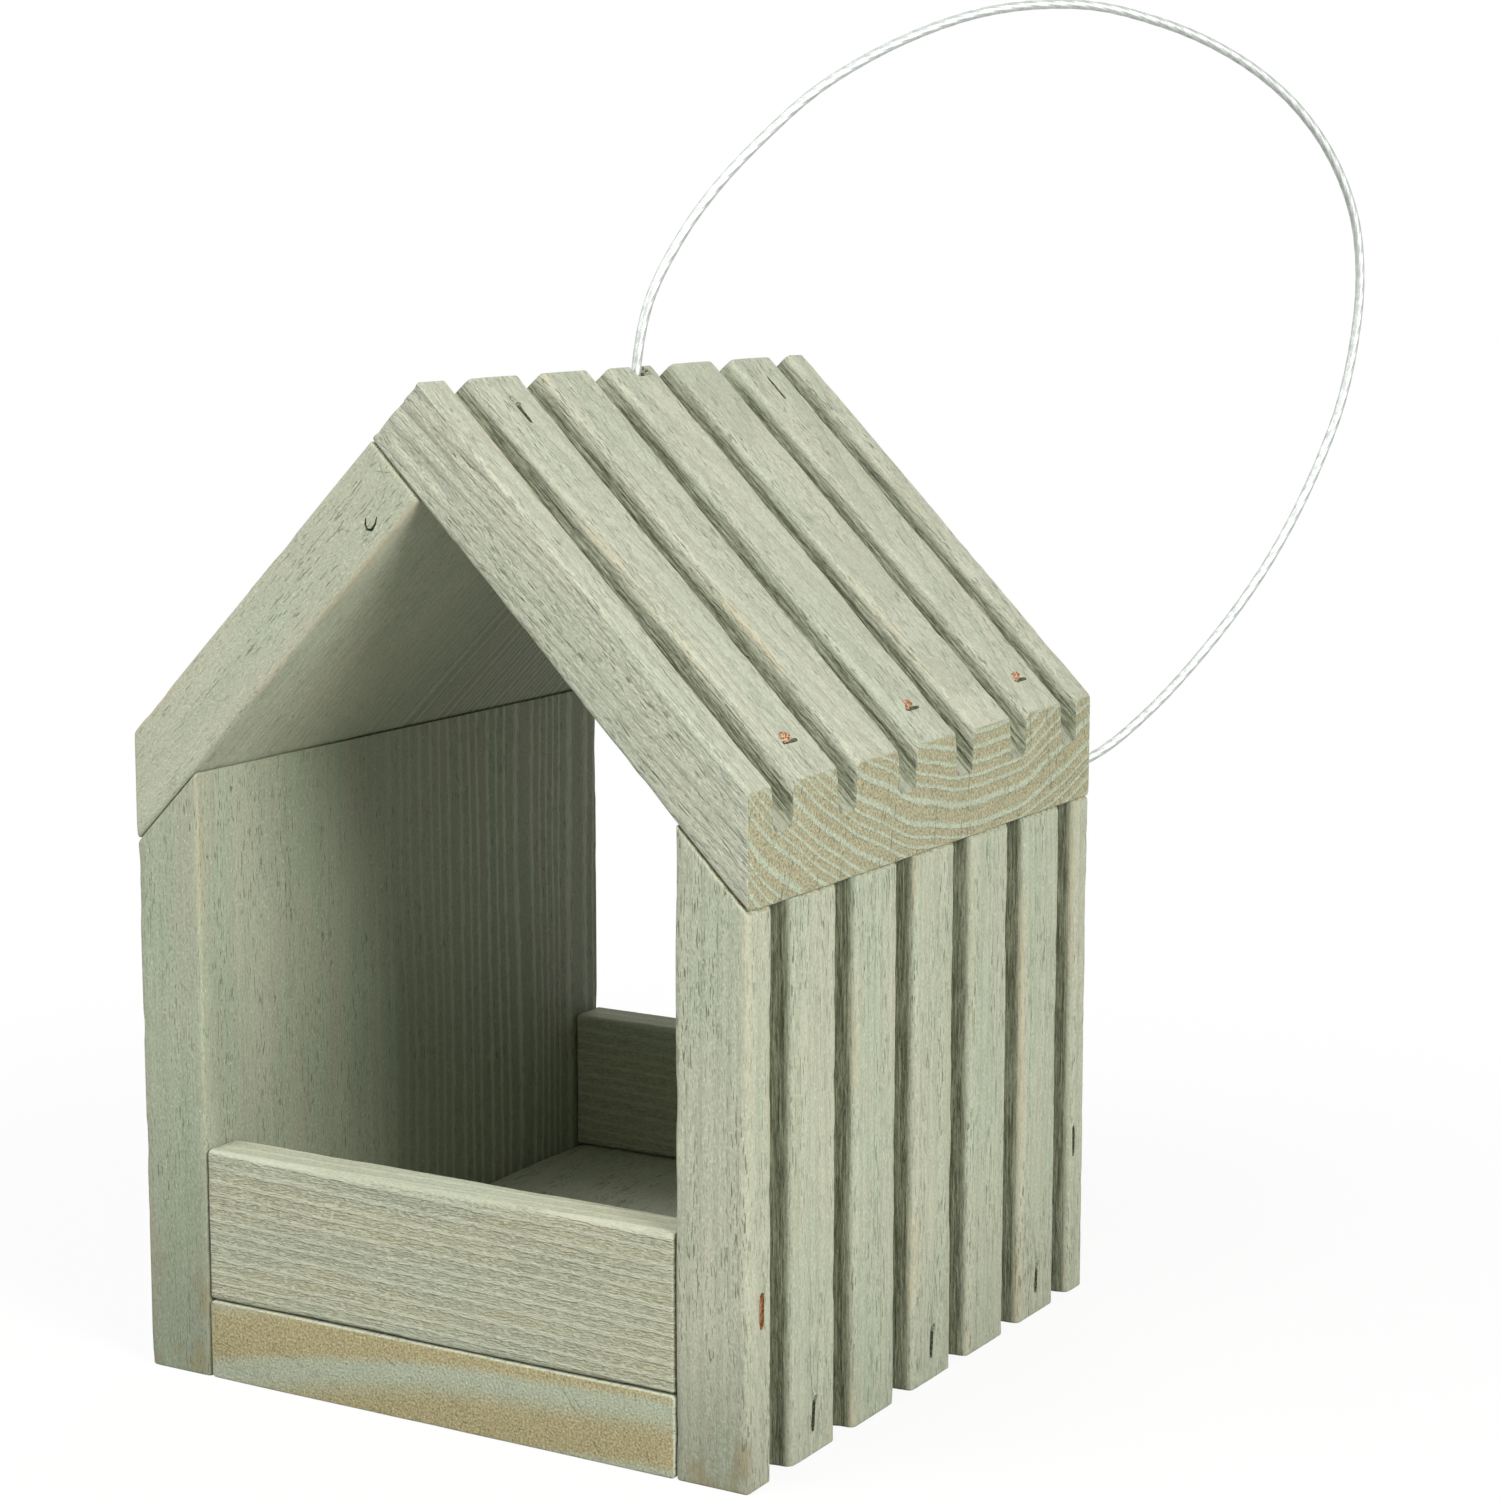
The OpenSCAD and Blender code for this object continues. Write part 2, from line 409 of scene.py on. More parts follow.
@dataclass(frozen=True)
class Pit:
    """A slot, scoop or hole with a ragged outline, in mm. Taper is the share of its mouth at the bottom."""

    length: float
    width: float
    depth: float
    ragged: float
    taper: float
    sides: int = 22
    # The cutter starts this far outside the face
    above: float = 1.2
    # Below 1 this makes its outline a superellipse, so that a slot has nearly straight sides and round ends
    squareness: float = 0.55

    def cutter(self, centre: Sequence[float], along: Sequence[float], drive: Sequence[float],
               seed: int) -> Mould:
        """A closed cutter for it.

        Args:
            centre: the middle of its mouth.
            along: direction of its long side.
            drive: direction into the wood.
            seed: picks its outline.

        Returns:
            The cutter.
        """
        # Rows of a depth and a share of the mouth's size
        rows = [(-self.above, 1.0), (0.0, 1.0), (self.depth * 0.6, (1 + self.taper) / 2),
                (self.depth, self.taper)]
        long_side, into = unit(along), unit(drive)
        short_side = unit(np.cross(into, long_side))
        points = []
        for down, share in rows:
            for k in range(self.sides):
                angle = 2 * math.pi * k / self.sides
                c, s = math.cos(angle), math.sin(angle)
                x = math.copysign(abs(c) ** self.squareness, c) * self.length / 2
                y = math.copysign(abs(s) ** self.squareness, s) * self.width / 2
                stray = smooth_noise(np.array([[c * 2.3, s * 2.3, down * 0.7]]), seed)[0] * self.ragged
                grow = share * (1 + stray / max(math.hypot(x, y), 0.01))
                points.append(np.array(centre) + long_side * x * grow + short_side * y * grow + into * down)
        return tube(points, self.sides)


# Slots of the staples in a wall's foot, and the split above each
FOOT_SLOT = Pit(length=6.6, width=1.3, depth=1.5, ragged=0.25, taper=0.8)
FOOT_SPLIT = Pit(length=2.6, width=1.2, depth=0.6, ragged=0.3, taper=0.5)
# Slots of the staples into the rails: browned at the front, narrow and dark at the back
FRONT_RAIL_SLOT = Pit(length=6.9, width=1.8, depth=1.2, ragged=0.1, taper=0.75)
BACK_RAIL_SLOT = Pit(length=6.9, width=1.2, depth=1.2, ragged=0.1, taper=0.75)
# Slots of the staples at the eave, and the wood torn up beside each
EAVE_SLOT = Pit(length=5.2, width=0.6, depth=1.6, ragged=0.15, taper=0.9)
EAVE_SCOOP = Pit(length=4.4, width=2.0, depth=0.6, ragged=1.0, taper=0.35)
# At the ridge: a torn slot at the front and a clean one at the back, a tear, and a chip beside the hole
FRONT_RIDGE_SLOT = Pit(length=6.4, width=1.1, depth=1.1, ragged=0.35, taper=0.75)
BACK_RIDGE_SLOT = Pit(length=6.4, width=0.8, depth=1.1, ragged=0.12, taper=0.75)
RIDGE_TEAR = Pit(length=3.0, width=1.6, depth=0.6, ragged=0.5, taper=0.4)
HOLE_CHIP = Pit(length=2.6, width=2.0, depth=0.8, ragged=0.4, taper=0.4)


def scratch(route: Sequence[Sequence[float]], into: Sequence[float], width: float, depth: float) -> Mould:
    """A closed cutter for a crack: a wedge swept along a line on the face of the wood, in mm.

    Args:
        route: points of the line.
        into: direction into the wood.
        width: width of the crack at its mouth, which narrows to its ends.
        depth: how far it goes in.

    Returns:
        The cutter.
    """
    spots, drive = np.array(route, float), unit(into)
    # The wedge starts this far outside the face
    above = 0.4
    heading = np.gradient(spots, axis=0)
    side = np.cross(heading, drive)
    side /= np.linalg.norm(side, axis=1)[:, None]
    points = []
    for k, spot in enumerate(spots):
        share = 0.35 + 0.65 * math.sin(math.pi * (k + 0.5) / len(spots))
        reach = side[k] * width / 2 * share
        points += [spot + reach - drive * above, spot - reach - drive * above, spot + drive * depth * share]
    return tube(points, 3)


def new_material(name: str) -> tuple[bpy.types.Material, bpy.types.NodeTree, bpy.types.Node]:
    """Makes a material that has one shader.

    Args:
        name: the material's name.

    Returns:
        The material, its node tree and its shader.
    """
    material = bpy.data.materials.new(name)
    material.use_nodes = True
    return material, material.node_tree, material.node_tree.nodes["Principled BSDF"]


@dataclass(frozen=True)
class StainedPine:
    """Scots pine under one coat of a translucent grey-green garden stain.

    The stain lies matt and even on planed faces, where short dark pores and faint rings show through. End
    grain drinks it: the wide early wood turns beige and the narrow late wood stays pale green. Sizes are a
    length along the grain and a width across it, in mm.
    """

    name: str
    # Growth rings: the pith's place across and outward, and how far it drifts per mm of length
    pith: tuple[float, float]
    ring_mm: float
    seed: float
    flatten: float = 1.0
    drift: tuple[float, float] = (0.0, 0.0)
    late_share: float = 0.3
    ring_uneven: float = 1.6
    ring_waver_mm: float = 1.2
    ring_soft: float = 1.0
    serration: float = 0.22
    # How the rings show on the faces, from a place across the board on
    ring_show: float = 0.16
    ring_tone: str = "#757B66"
    ring_from_mm: tuple[float, float] = (-9.0, -8.0)
    # Painted shade: how much darker the faces are made toward the far edge, from the same place on
    far_shade: float = 0.0
    # The stain's colours
    face_green: str = "#AEB6A0"
    face_beige: str = "#B7B9A4"
    pore: str = "#6E745F"
    fleck: str = "#D5DAC8"
    end_early: str = "#A9A587"
    end_late: str = "#B7BFA8"
    end_check: str = "#6F7058"
    # Torn fibres in the grooves; the dark tone also paints the shade down the grooves' sides
    groove: str = "#8D927B"
    groove_dark_and_shade: str = "#5A5E47"
    worn: str = "#C2B294"
    soil: str = "#8C8260"
    # Drifts of colour, blotches and lines along the grain
    drift_mm: tuple[float, float] = (55.0, 8.0)
    blotch_mm: tuple[float, float] = (24.0, 3.5)
    blotch_depth: float = 0.18
    line_mm: tuple[float, float] = (60.0, 0.5)
    line_depth: float = 0.25
    # Fibres, pores, pale flecks and the cells of the ends are finer than this in real wood. They are drawn as
    # coarse as they need to be to show.
    speckle_mm: tuple[float, float] = (0.7, 0.36)
    speckle_depth: float = 0.75
    tick_mm: tuple[float, float] = (3.2, 0.3)
    tick_crowd_mm: tuple[float, float] = (30.0, 5.0)
    tick_levels: tuple[float, float] = (0.61, 0.645)
    tick_depth: float = 0.9
    tick_least: float = 0.3
    fleck_mm: tuple[float, float] = (0.9, 0.3)
    cell_mm: tuple[float, float] = (0.55, 0.5)
    ring_edge_mm: tuple[float, float] = (3.0, 0.42)
    check_mm: tuple[float, float] = (5.0, 2.2)
    # Shreds of fibre in the grooves, and patches of rubbed arrises and of smudged feet
    streak_mm: tuple[float, float] = (11.0, 0.5)
    shred_mm: tuple[float, float] = (1.6, 0.5)
    rub_mm: tuple[float, float] = (14.0, 1.2)
    smudge_mm: tuple[float, float] = (7.0, 4.0)
    # Height of the relief, and the sheen that is left on the fibres
    relief_mm: float = 0.07
    ring_relief: float = 0.6
    rough_low: float = 0.6
    rough_high: float = 0.82

    def build(self) -> bpy.types.Material:
        """Makes the material, which reads the board's own coordinates in mm and its masks.

        Returns:
            The material.
        """
        material, tree, shader = new_material(self.name)
        spot = add_node(tree, "ShaderNodeAttribute", attribute_name="board_mm").outputs["Vector"]
        shift = (self.seed * 31.7, self.seed * 11.3, self.seed * 17.9)
        shifted = add_node(tree, "ShaderNodeVectorMath", {0: spot, 1: shift}, operation="ADD")
        masks = {name: add_node(tree, "ShaderNodeAttribute", attribute_name=name).outputs["Fac"]
                 for name in ("end_grain", "groove", "worn", "smooth", "soiled_and_shaded")}
        lines = drawn_noise(tree, shifted, *self.line_mm)
        speckle = drawn_noise(tree, shifted, *self.speckle_mm)
        cells = drawn_noise(tree, shifted, *self.cell_mm, 1.0)
        from_pith, late = self.rings(tree, spot, shifted)
        ticks = self.ticks(tree, shifted, late, masks["smooth"])
        checks = self.checks(tree, shifted, from_pith)
        # Shreds of fibre in the grooves, in long streaks with finer ones over them
        streaks = add_node(tree, "ShaderNodeMath", {0: drawn_noise(tree, shifted, *self.streak_mm), 1: 0.65},
                           operation="MULTIPLY")
        shreds = add_node(tree, "ShaderNodeMath", {0: drawn_noise(tree, shifted, *self.shred_mm), 1: 0.35,
                                                   2: streaks}, operation="MULTIPLY_ADD")

        colour = self.face_colour(tree, shifted, spot, lines, speckle, late, ticks)
        end = self.end_colour(tree, cells, late, checks)
        colour = add_node(tree, "ShaderNodeMix", {0: masks["end_grain"], 6: colour, 7: end}, data_type="RGBA")
        # The grooves' sides take the torn fibres' colour: partly stain-soaked fibres, partly painted shade
        share = add_node(tree, "ShaderNodeMapRange", {0: shreds, 1: 0.38, 2: 0.64})
        torn = add_node(tree, "ShaderNodeMix", {0: share, 6: srgb(self.groove_dark_and_shade), 7: srgb(self.groove)},
                        data_type="RGBA")
        colour = add_node(tree, "ShaderNodeMix", {0: masks["groove"], 6: colour, 7: torn}, data_type="RGBA")
        colour = self.weathered_and_shaded(tree, shifted, colour, masks["worn"], masks["soiled_and_shaded"])
        tree.links.new(colour.outputs[2], shader.inputs["Base Color"])

        matt = add_node(tree, "ShaderNodeMapRange", {0: lines, 1: 0.3, 2: 0.7, 3: self.rough_low,
                                                     4: self.rough_high})
        tree.links.new(matt.outputs[0], shader.inputs["Roughness"])
        shader.inputs["IOR"].default_value = STAIN_IOR
        shader.inputs["Specular IOR Level"].default_value = STAIN_GLOSS

        # Relief, as shares of relief_mm: speckle and pores on the faces, cells on the ends, shreds in grooves
        relief = add_node(tree, "ShaderNodeMath", {0: lines, 1: 1.2}, operation="MULTIPLY")
        shares = [(speckle, 1.9), (ticks, -1.6), (late, self.ring_relief)]
        for height, place, share in ((cells, "end_grain", 3.0), (checks, "end_grain", -2.0),
                                     (shreds, "groove", 5.5)):
            there = add_node(tree, "ShaderNodeMath", {0: masks[place], 1: share}, operation="MULTIPLY")
            shares.append((height, there))
        for height, share in shares:
            relief = add_node(tree, "ShaderNodeMath", {0: height, 1: share, 2: relief},
                              operation="MULTIPLY_ADD")
        bump = add_node(tree, "ShaderNodeBump", {"Strength": 1.0, "Distance": self.relief_mm * MM,
                                                 "Height": relief})
        tree.links.new(bump.outputs[0], shader.inputs["Normal"])
        return material

    def rings(self, tree: bpy.types.NodeTree, spot: bpy.types.NodeSocket,
              shifted: bpy.types.Node) -> tuple[bpy.types.Node, bpy.types.Node]:
        """Growth rings round the pith, which wavers along the board.

        Args:
            tree: the material's nodes.
            spot: the board's own coordinates in mm.
            shifted: the same, shifted for this board's noises.

        Returns:
            The way from the pith, and the share of late wood from 0 to 1.
        """
        # The pith wavers in bends of 90 mm along the board
        waver = add_node(tree, "ShaderNodeVectorMath", {0: shifted, 1: (1 / 90, 1 / 30, 1 / 30)},
                         operation="MULTIPLY")
        waver = add_node(tree, "ShaderNodeTexNoise", {"Vector": waver, "Scale": 1.0, "Detail": 1.0})
        waver = add_node(tree, "ShaderNodeVectorMath", {0: waver.outputs["Color"], 1: (0.5, 0.5, 0.5)},
                         operation="SUBTRACT")
        sway = 4 * self.ring_waver_mm
        waver = add_node(tree, "ShaderNodeVectorMath", {0: waver, 1: (0.0, sway, sway), 2: spot},
                         operation="MULTIPLY_ADD")
        grain = add_node(tree, "ShaderNodeSeparateXYZ", {0: spot})
        lean = add_node(tree, "ShaderNodeVectorMath", {0: (0.0, *self.drift), "Scale": grain},
                        operation="SCALE")
        from_pith = add_node(tree, "ShaderNodeVectorMath", {0: waver, 1: lean}, operation="SUBTRACT")
        from_pith = add_node(tree, "ShaderNodeVectorMath", {0: from_pith, 1: (0.0, *self.pith)},
                             operation="SUBTRACT")
        from_pith = add_node(tree, "ShaderNodeVectorMath", {0: from_pith, 1: (0.0, self.flatten, 1.0)},
                             operation="MULTIPLY")
        radius = add_node(tree, "ShaderNodeVectorMath", {0: from_pith}, operation="LENGTH")
        years = add_node(tree, "ShaderNodeMath", {0: radius, 1: self.ring_mm}, operation="DIVIDE")
        # Wide and narrow years, and the cells of each ring's edge
        decade = add_node(tree, "ShaderNodeMath", {0: years, 1: 0.31}, operation="MULTIPLY")
        uneven = add_node(tree, "ShaderNodeTexNoise", {"W": decade, "Scale": 1.0, "Detail": 0.0},
                          noise_dimensions="1D")
        years = add_node(tree, "ShaderNodeMath", {0: uneven, 1: self.ring_uneven, 2: years},
                         operation="MULTIPLY_ADD")
        edge = drawn_noise(tree, shifted, *self.ring_edge_mm, 1.0)
        years = add_node(tree, "ShaderNodeMath", {0: edge, 1: self.serration * 2, 2: years},
                         operation="MULTIPLY_ADD")
        # A year starts with early wood, darkens slowly into late wood, and ends sharply
        share = add_node(tree, "ShaderNodeMath", {0: years}, operation="FRACT")
        stop = add_node(tree, "ShaderNodeMapRange", {0: share, 1: 0.97, 2: 0.97 - 0.07 * self.ring_soft},
                        interpolation_type="SMOOTHSTEP")
        start = 0.8 - self.late_share
        late = add_node(tree, "ShaderNodeMapRange", {0: share, 1: start, 2: start + 0.16 * self.ring_soft,
                                                     4: stop}, interpolation_type="SMOOTHSTEP")
        return from_pith, late

    def ticks(self, tree: bpy.types.NodeTree, shifted: bpy.types.Node, late: bpy.types.Node,
              smooth: bpy.types.NodeSocket) -> bpy.types.Node:
        """Short dark pores along the grain, in crowds, fewer in late wood and none where the wood is smooth.

        Args:
            tree: the material's nodes.
            shifted: the board's coordinates in mm, shifted for its noises.
            late: the share of late wood.
            smooth: the mask of planed wood.

        Returns:
            The depth of the pores, from 0 to 1.
        """
        few = add_node(tree, "ShaderNodeMapRange", {0: late, 3: 1.0, 4: 0.6})
        open_share = add_node(tree, "ShaderNodeMapRange", {0: smooth, 3: few, 4: 0.0})
        crowd = add_node(tree, "ShaderNodeMapRange", {0: drawn_noise(tree, shifted, *self.tick_crowd_mm, 1.0),
                                                      1: 0.4, 2: 0.6, 3: self.tick_least, 4: 1.0})
        most = add_node(tree, "ShaderNodeMath", {0: open_share, 1: crowd}, operation="MULTIPLY")
        low, high = self.tick_levels
        marks = drawn_noise(tree, shifted, *self.tick_mm, 1.0)
        return add_node(tree, "ShaderNodeMapRange", {0: marks, 1: low, 2: high, 4: most})

    def checks(self, tree: bpy.types.NodeTree, shifted: bpy.types.Node,
               from_pith: bpy.types.Node) -> bpy.types.Node:
        """Short radial checks across the end grain, in patches.

        Args:
            tree: the material's nodes.
            shifted: the board's coordinates in mm, shifted for its noises.
            from_pith: the way from the pith.

        Returns:
            The depth of the checks, from 0 to 1.
        """
        ray = add_node(tree, "ShaderNodeVectorMath", {0: from_pith}, operation="NORMALIZE")
        # So many cells of noise go round the pith as there are rays to a radian
        ray = add_node(tree, "ShaderNodeVectorMath", {0: ray, "Scale": 260.0}, operation="SCALE")
        ray = add_node(tree, "ShaderNodeTexNoise", {"Vector": ray, "Scale": 1.0, "Detail": 2.0})
        patch = add_node(tree, "ShaderNodeMapRange", {0: drawn_noise(tree, shifted, *self.check_mm, 1.0),
                                                      1: 0.5, 2: 0.62})
        return add_node(tree, "ShaderNodeMapRange", {0: ray, 1: 0.6, 2: 0.68, 4: patch})

    def face_colour(self, tree: bpy.types.NodeTree, shifted: bpy.types.Node, spot: bpy.types.NodeSocket,
                    lines: bpy.types.Node, speckle: bpy.types.Node, late: bpy.types.Node,
                    ticks: bpy.types.Node) -> bpy.types.Node:
        """Colour of the planed faces: drifts of greener and beiger stain, lines, speckle, rings and pores,
        and painted shade toward the far edge.

        Args:
            tree: the material's nodes.
            shifted: the board's coordinates in mm, shifted for its noises.
            spot: the board's coordinates in mm.
            lines: the noise of long lines.
            speckle: the noise of single fibres.
            late: the share of late wood.
            ticks: the depth of the pores.

        Returns:
            The colour.
        """
        drift = add_node(tree, "ShaderNodeMapRange", {0: drawn_noise(tree, shifted, *self.drift_mm), 1: 0.36,
                                                      2: 0.64})
        colour = add_node(tree, "ShaderNodeMix", {0: drift, 6: srgb(self.face_green),
                                                  7: srgb(self.face_beige)}, data_type="RGBA")
        blotch = drawn_noise(tree, shifted, *self.blotch_mm)
        for noise, depth in ((lines, self.line_depth), (speckle, self.speckle_depth),
                             (blotch, self.blotch_depth)):
            factor = add_node(tree, "ShaderNodeMapRange", {0: noise, 3: 1 - depth / 2, 4: 1 + depth / 2})
            colour = add_node(tree, "ShaderNodeVectorMath", {0: colour, "Scale": factor}, operation="SCALE")
        # Toward the far edge the rings stand out, and the faces are darkened there as painted shade
        across = add_node(tree, "ShaderNodeSeparateXYZ", {0: spot}).outputs["Y"]
        start, full = self.ring_from_mm
        shade = add_node(tree, "ShaderNodeMapRange", {0: across, 1: start, 2: full, 3: 1.0,
                                                      4: 1.0 - self.far_shade})
        colour = add_node(tree, "ShaderNodeVectorMath", {0: colour, "Scale": shade}, operation="SCALE")
        show = add_node(tree, "ShaderNodeMapRange", {0: across, 1: start, 2: full, 4: self.ring_show})
        show = add_node(tree, "ShaderNodeMath", {0: late, 1: show}, operation="MULTIPLY")
        colour = add_node(tree, "ShaderNodeMix", {0: show, 6: colour, 7: srgb(self.ring_tone)},
                          data_type="RGBA")
        deep = add_node(tree, "ShaderNodeMath", {0: ticks, 1: self.tick_depth}, operation="MULTIPLY")
        colour = add_node(tree, "ShaderNodeMix", {0: deep, 6: colour, 7: srgb(self.pore)}, data_type="RGBA")
        flecks = add_node(tree, "ShaderNodeMapRange", {0: drawn_noise(tree, shifted, *self.fleck_mm, 0.0),
                                                       1: 0.71, 2: 0.76, 4: 0.45})
        return add_node(tree, "ShaderNodeMix", {0: flecks, 6: colour, 7: srgb(self.fleck)}, data_type="RGBA")

    def end_colour(self, tree: bpy.types.NodeTree, cells: bpy.types.Node, late: bpy.types.Node,
                   checks: bpy.types.Node) -> bpy.types.Node:
        """Colour of the end grain: beige early wood full of open cells, pale late wood, and dark checks.

        Args:
            tree: the material's nodes.
            cells: the noise of the wood's cells.
            late: the share of late wood.
            checks: the depth of the checks.

        Returns:
            The colour.
        """
        colour = add_node(tree, "ShaderNodeMix", {0: late, 6: srgb(self.end_early), 7: srgb(self.end_late)},
                          data_type="RGBA")
        darker = add_node(tree, "ShaderNodeMapRange", {0: late, 3: 0.2, 4: 0.5})
        lighter = add_node(tree, "ShaderNodeMapRange", {0: late, 3: 1.8, 4: 1.5})
        factor = add_node(tree, "ShaderNodeMapRange", {0: cells, 3: darker, 4: lighter})
        colour = add_node(tree, "ShaderNodeVectorMath", {0: colour, "Scale": factor}, operation="SCALE")
        half = add_node(tree, "ShaderNodeMath", {0: checks, 1: 0.5}, operation="MULTIPLY")
        return add_node(tree, "ShaderNodeMix", {0: half, 6: colour, 7: srgb(self.end_check)},
                        data_type="RGBA")

    def weathered_and_shaded(self, tree: bpy.types.NodeTree, shifted: bpy.types.Node, colour: bpy.types.Node,
                  worn: bpy.types.NodeSocket, soiled_and_shaded: bpy.types.NodeSocket) -> bpy.types.Node:
        """Rubs the stain thin on the arrises, smudges the feet, and darkens the feet, as dirt and painted
        shade, and the inside behind the rails, as painted shade.

        Args:
            tree: the material's nodes.
            shifted: the board's coordinates in mm, shifted for its noises.
            colour: the colour before it.
            worn: the mask of rubbed wood.
            soiled_and_shaded: the mask of dirt and painted shade at the feet, and of painted shade inside
                behind the rails.

        Returns:
            The colour.
        """
        rubbed = add_node(tree, "ShaderNodeMapRange", {0: drawn_noise(tree, shifted, *self.rub_mm), 1: 0.32,
                                                       2: 0.5, 4: worn})
        colour = add_node(tree, "ShaderNodeMix", {0: rubbed, 6: colour, 7: srgb(self.worn)}, data_type="RGBA")
        # Darker where that mask is: dirt and painted shade at the feet, painted shade inside
        darkening = add_node(tree, "ShaderNodeMapRange", {0: soiled_and_shaded, 3: 1.0, 4: 0.72})
        colour = add_node(tree, "ShaderNodeVectorMath", {0: colour, "Scale": darkening}, operation="SCALE")
        low = add_node(tree, "ShaderNodeMapRange", {0: soiled_and_shaded, 1: 0.6, 2: 1.0, 4: 0.6})
        smudge = add_node(tree, "ShaderNodeMapRange", {0: drawn_noise(tree, shifted, *self.smudge_mm, 3.0),
                                                       1: 0.52, 2: 0.66, 4: low})
        return add_node(tree, "ShaderNodeMix", {0: smudge, 6: colour, 7: srgb(self.soil)}, data_type="RGBA")


# Planed faces of a rather even grey-green, with faint rings and many short pores
RIGHT_WALL_PINE = StainedPine("right_wall_stained_pine", pith=(-18.0, 62.0), ring_mm=2.3, seed=3.0,
                              face_green="#AFB7A1", face_beige="#B8BAA5", ring_show=0.14)
# Its inner face is in view: darker and smoother, with wide pale rings toward the back, where the faces are
# also darkened as painted shade
LEFT_WALL_PINE = StainedPine("left_wall_stained_pine", pith=(-30.0, 6.0), ring_mm=3.6, seed=4.0,
                             face_green="#A2AC95", face_beige="#A9AC97", ring_show=0.75, ring_tone="#C6CBB5",
                             ring_soft=1.6, ring_from_mm=(45.0, 100.0), far_shade=0.14,
                             tick_levels=(0.635, 0.675))
# The palest board, whose fibres stand up so that the light catches them
RIGHT_ROOF_PINE = StainedPine("right_roof_stained_pine", pith=(94.0, 150.0), ring_mm=2.15, seed=1.0,
                              drift=(0.0, 0.07), face_green="#B3B8A5", face_beige="#BABBA8", ring_show=0.14,
                              relief_mm=0.11, ring_relief=1.6, groove="#A3A891", groove_dark_and_shade="#595D49")
# Its underside is in view: few pores, and pale rings toward the back, where the faces are darkened as painted
# shade
LEFT_ROOF_PINE = StainedPine("left_roof_stained_pine", pith=(-30.0, 6.0), ring_mm=2.2, seed=2.0,
                             ring_show=0.6, ring_tone="#C3C8B4", ring_from_mm=(35.0, 75.0), far_shade=0.3,
                             ring_relief=0.8, line_depth=0.15, tick_levels=(0.65, 0.7), tick_depth=0.7,
                             groove="#9AA089", groove_dark_and_shade="#54583F")
# Cut from a wide plank: its ends show broad beige rings and its top is the palest face
FLOOR_PINE = StainedPine("floor_stained_pine", pith=(110.0, -22.0), ring_mm=13.0, seed=5.0, flatten=0.236,
                         end_early="#ACA27C", end_late="#ADB49E", late_share=0.5, ring_uneven=0.0,
                         serration=0.06, ring_waver_mm=0.5, ring_soft=2.6, face_green="#BCC3AE",
                         face_beige="#C2C4AF", ring_show=0.08)


def sawn_pine(name: str, seed: float) -> StainedPine:
    """The finish of a rail as the saw left it: matt and furry, with pale rings and short close marks.

    Args:
        name: the material's name.
        seed: picks its grain.

    Returns:
        The finish.
    """
    return StainedPine(name, pith=(-40.0, 84.0), ring_mm=2.2, seed=seed, drift=(0.0, -0.03),
                       face_green="#B5BAA4", face_beige="#BAB99F", pore="#7A7D64", ring_show=0.5,
                       ring_tone="#CBCFBB", late_share=0.24, ring_waver_mm=0.5, ring_uneven=0.8,
                       serration=0.16, blotch_depth=0.06, line_depth=0.2, speckle_mm=(0.9, 0.34),
                       speckle_depth=0.8, tick_mm=(1.7, 0.34), tick_levels=(0.47, 0.58), tick_depth=0.32,
                       tick_least=0.75, relief_mm=0.1, ring_relief=1.2, rough_low=0.75, rough_high=0.95)


@dataclass(frozen=True)
class BareWood:
    """Pine that a staple, a drill or a knock has laid open, as matt torn fibres in two tones. In dark tones
    it also serves as painted shade inside slots.

    Real fibres are about 0.03 mm wide. These are drawn coarser, so that they show.
    """

    name: str
    light: str
    dark: str
    fibre_mm: float = 0.45
    relief_mm: float = 0.1
    roughness: float = 0.85

    def build(self) -> bpy.types.Material:
        """Makes the material.

        Returns:
            The material.
        """
        material, tree, shader = new_material(self.name)
        spot = add_node(tree, "ShaderNodeTexCoord").outputs["Object"]
        noise = add_node(tree, "ShaderNodeTexNoise", {"Vector": spot, "Scale": 1 / (self.fibre_mm * MM),
                                                      "Detail": 3.0})
        share = add_node(tree, "ShaderNodeMapRange", {0: noise, 1: 0.4, 2: 0.62})
        colour = add_node(tree, "ShaderNodeMix", {0: share, 6: srgb(self.dark), 7: srgb(self.light)},
                          data_type="RGBA")
        tree.links.new(colour.outputs[2], shader.inputs["Base Color"])
        shader.inputs["Roughness"].default_value = self.roughness
        bump = add_node(tree, "ShaderNodeBump", {"Distance": self.relief_mm * MM, "Height": noise})
        tree.links.new(bump.outputs[0], shader.inputs["Normal"])
        return material


# Painted shade: the inside of slots, cracks and the cable hole, drawn nearly black for the shade in them
SLOT_SHADE = BareWood("painted_slot_shade", "#6B6F58", "#2E3022")
# Fresh splits round the eave staples, pale with orange-brown depths
SPLIT_PINE = BareWood("split_pine", "#D9B794", "#74492A")
# Rust from the staple has run into the wood around it
RUSTED_PINE = BareWood("rust_browned_pine", "#A9764E", "#5E4029")
# Old tears that were stained with the board, a little darker than its face
SOAKED_TEAR = BareWood("stain_soaked_tear", "#A9AD96", "#4A4E3C")


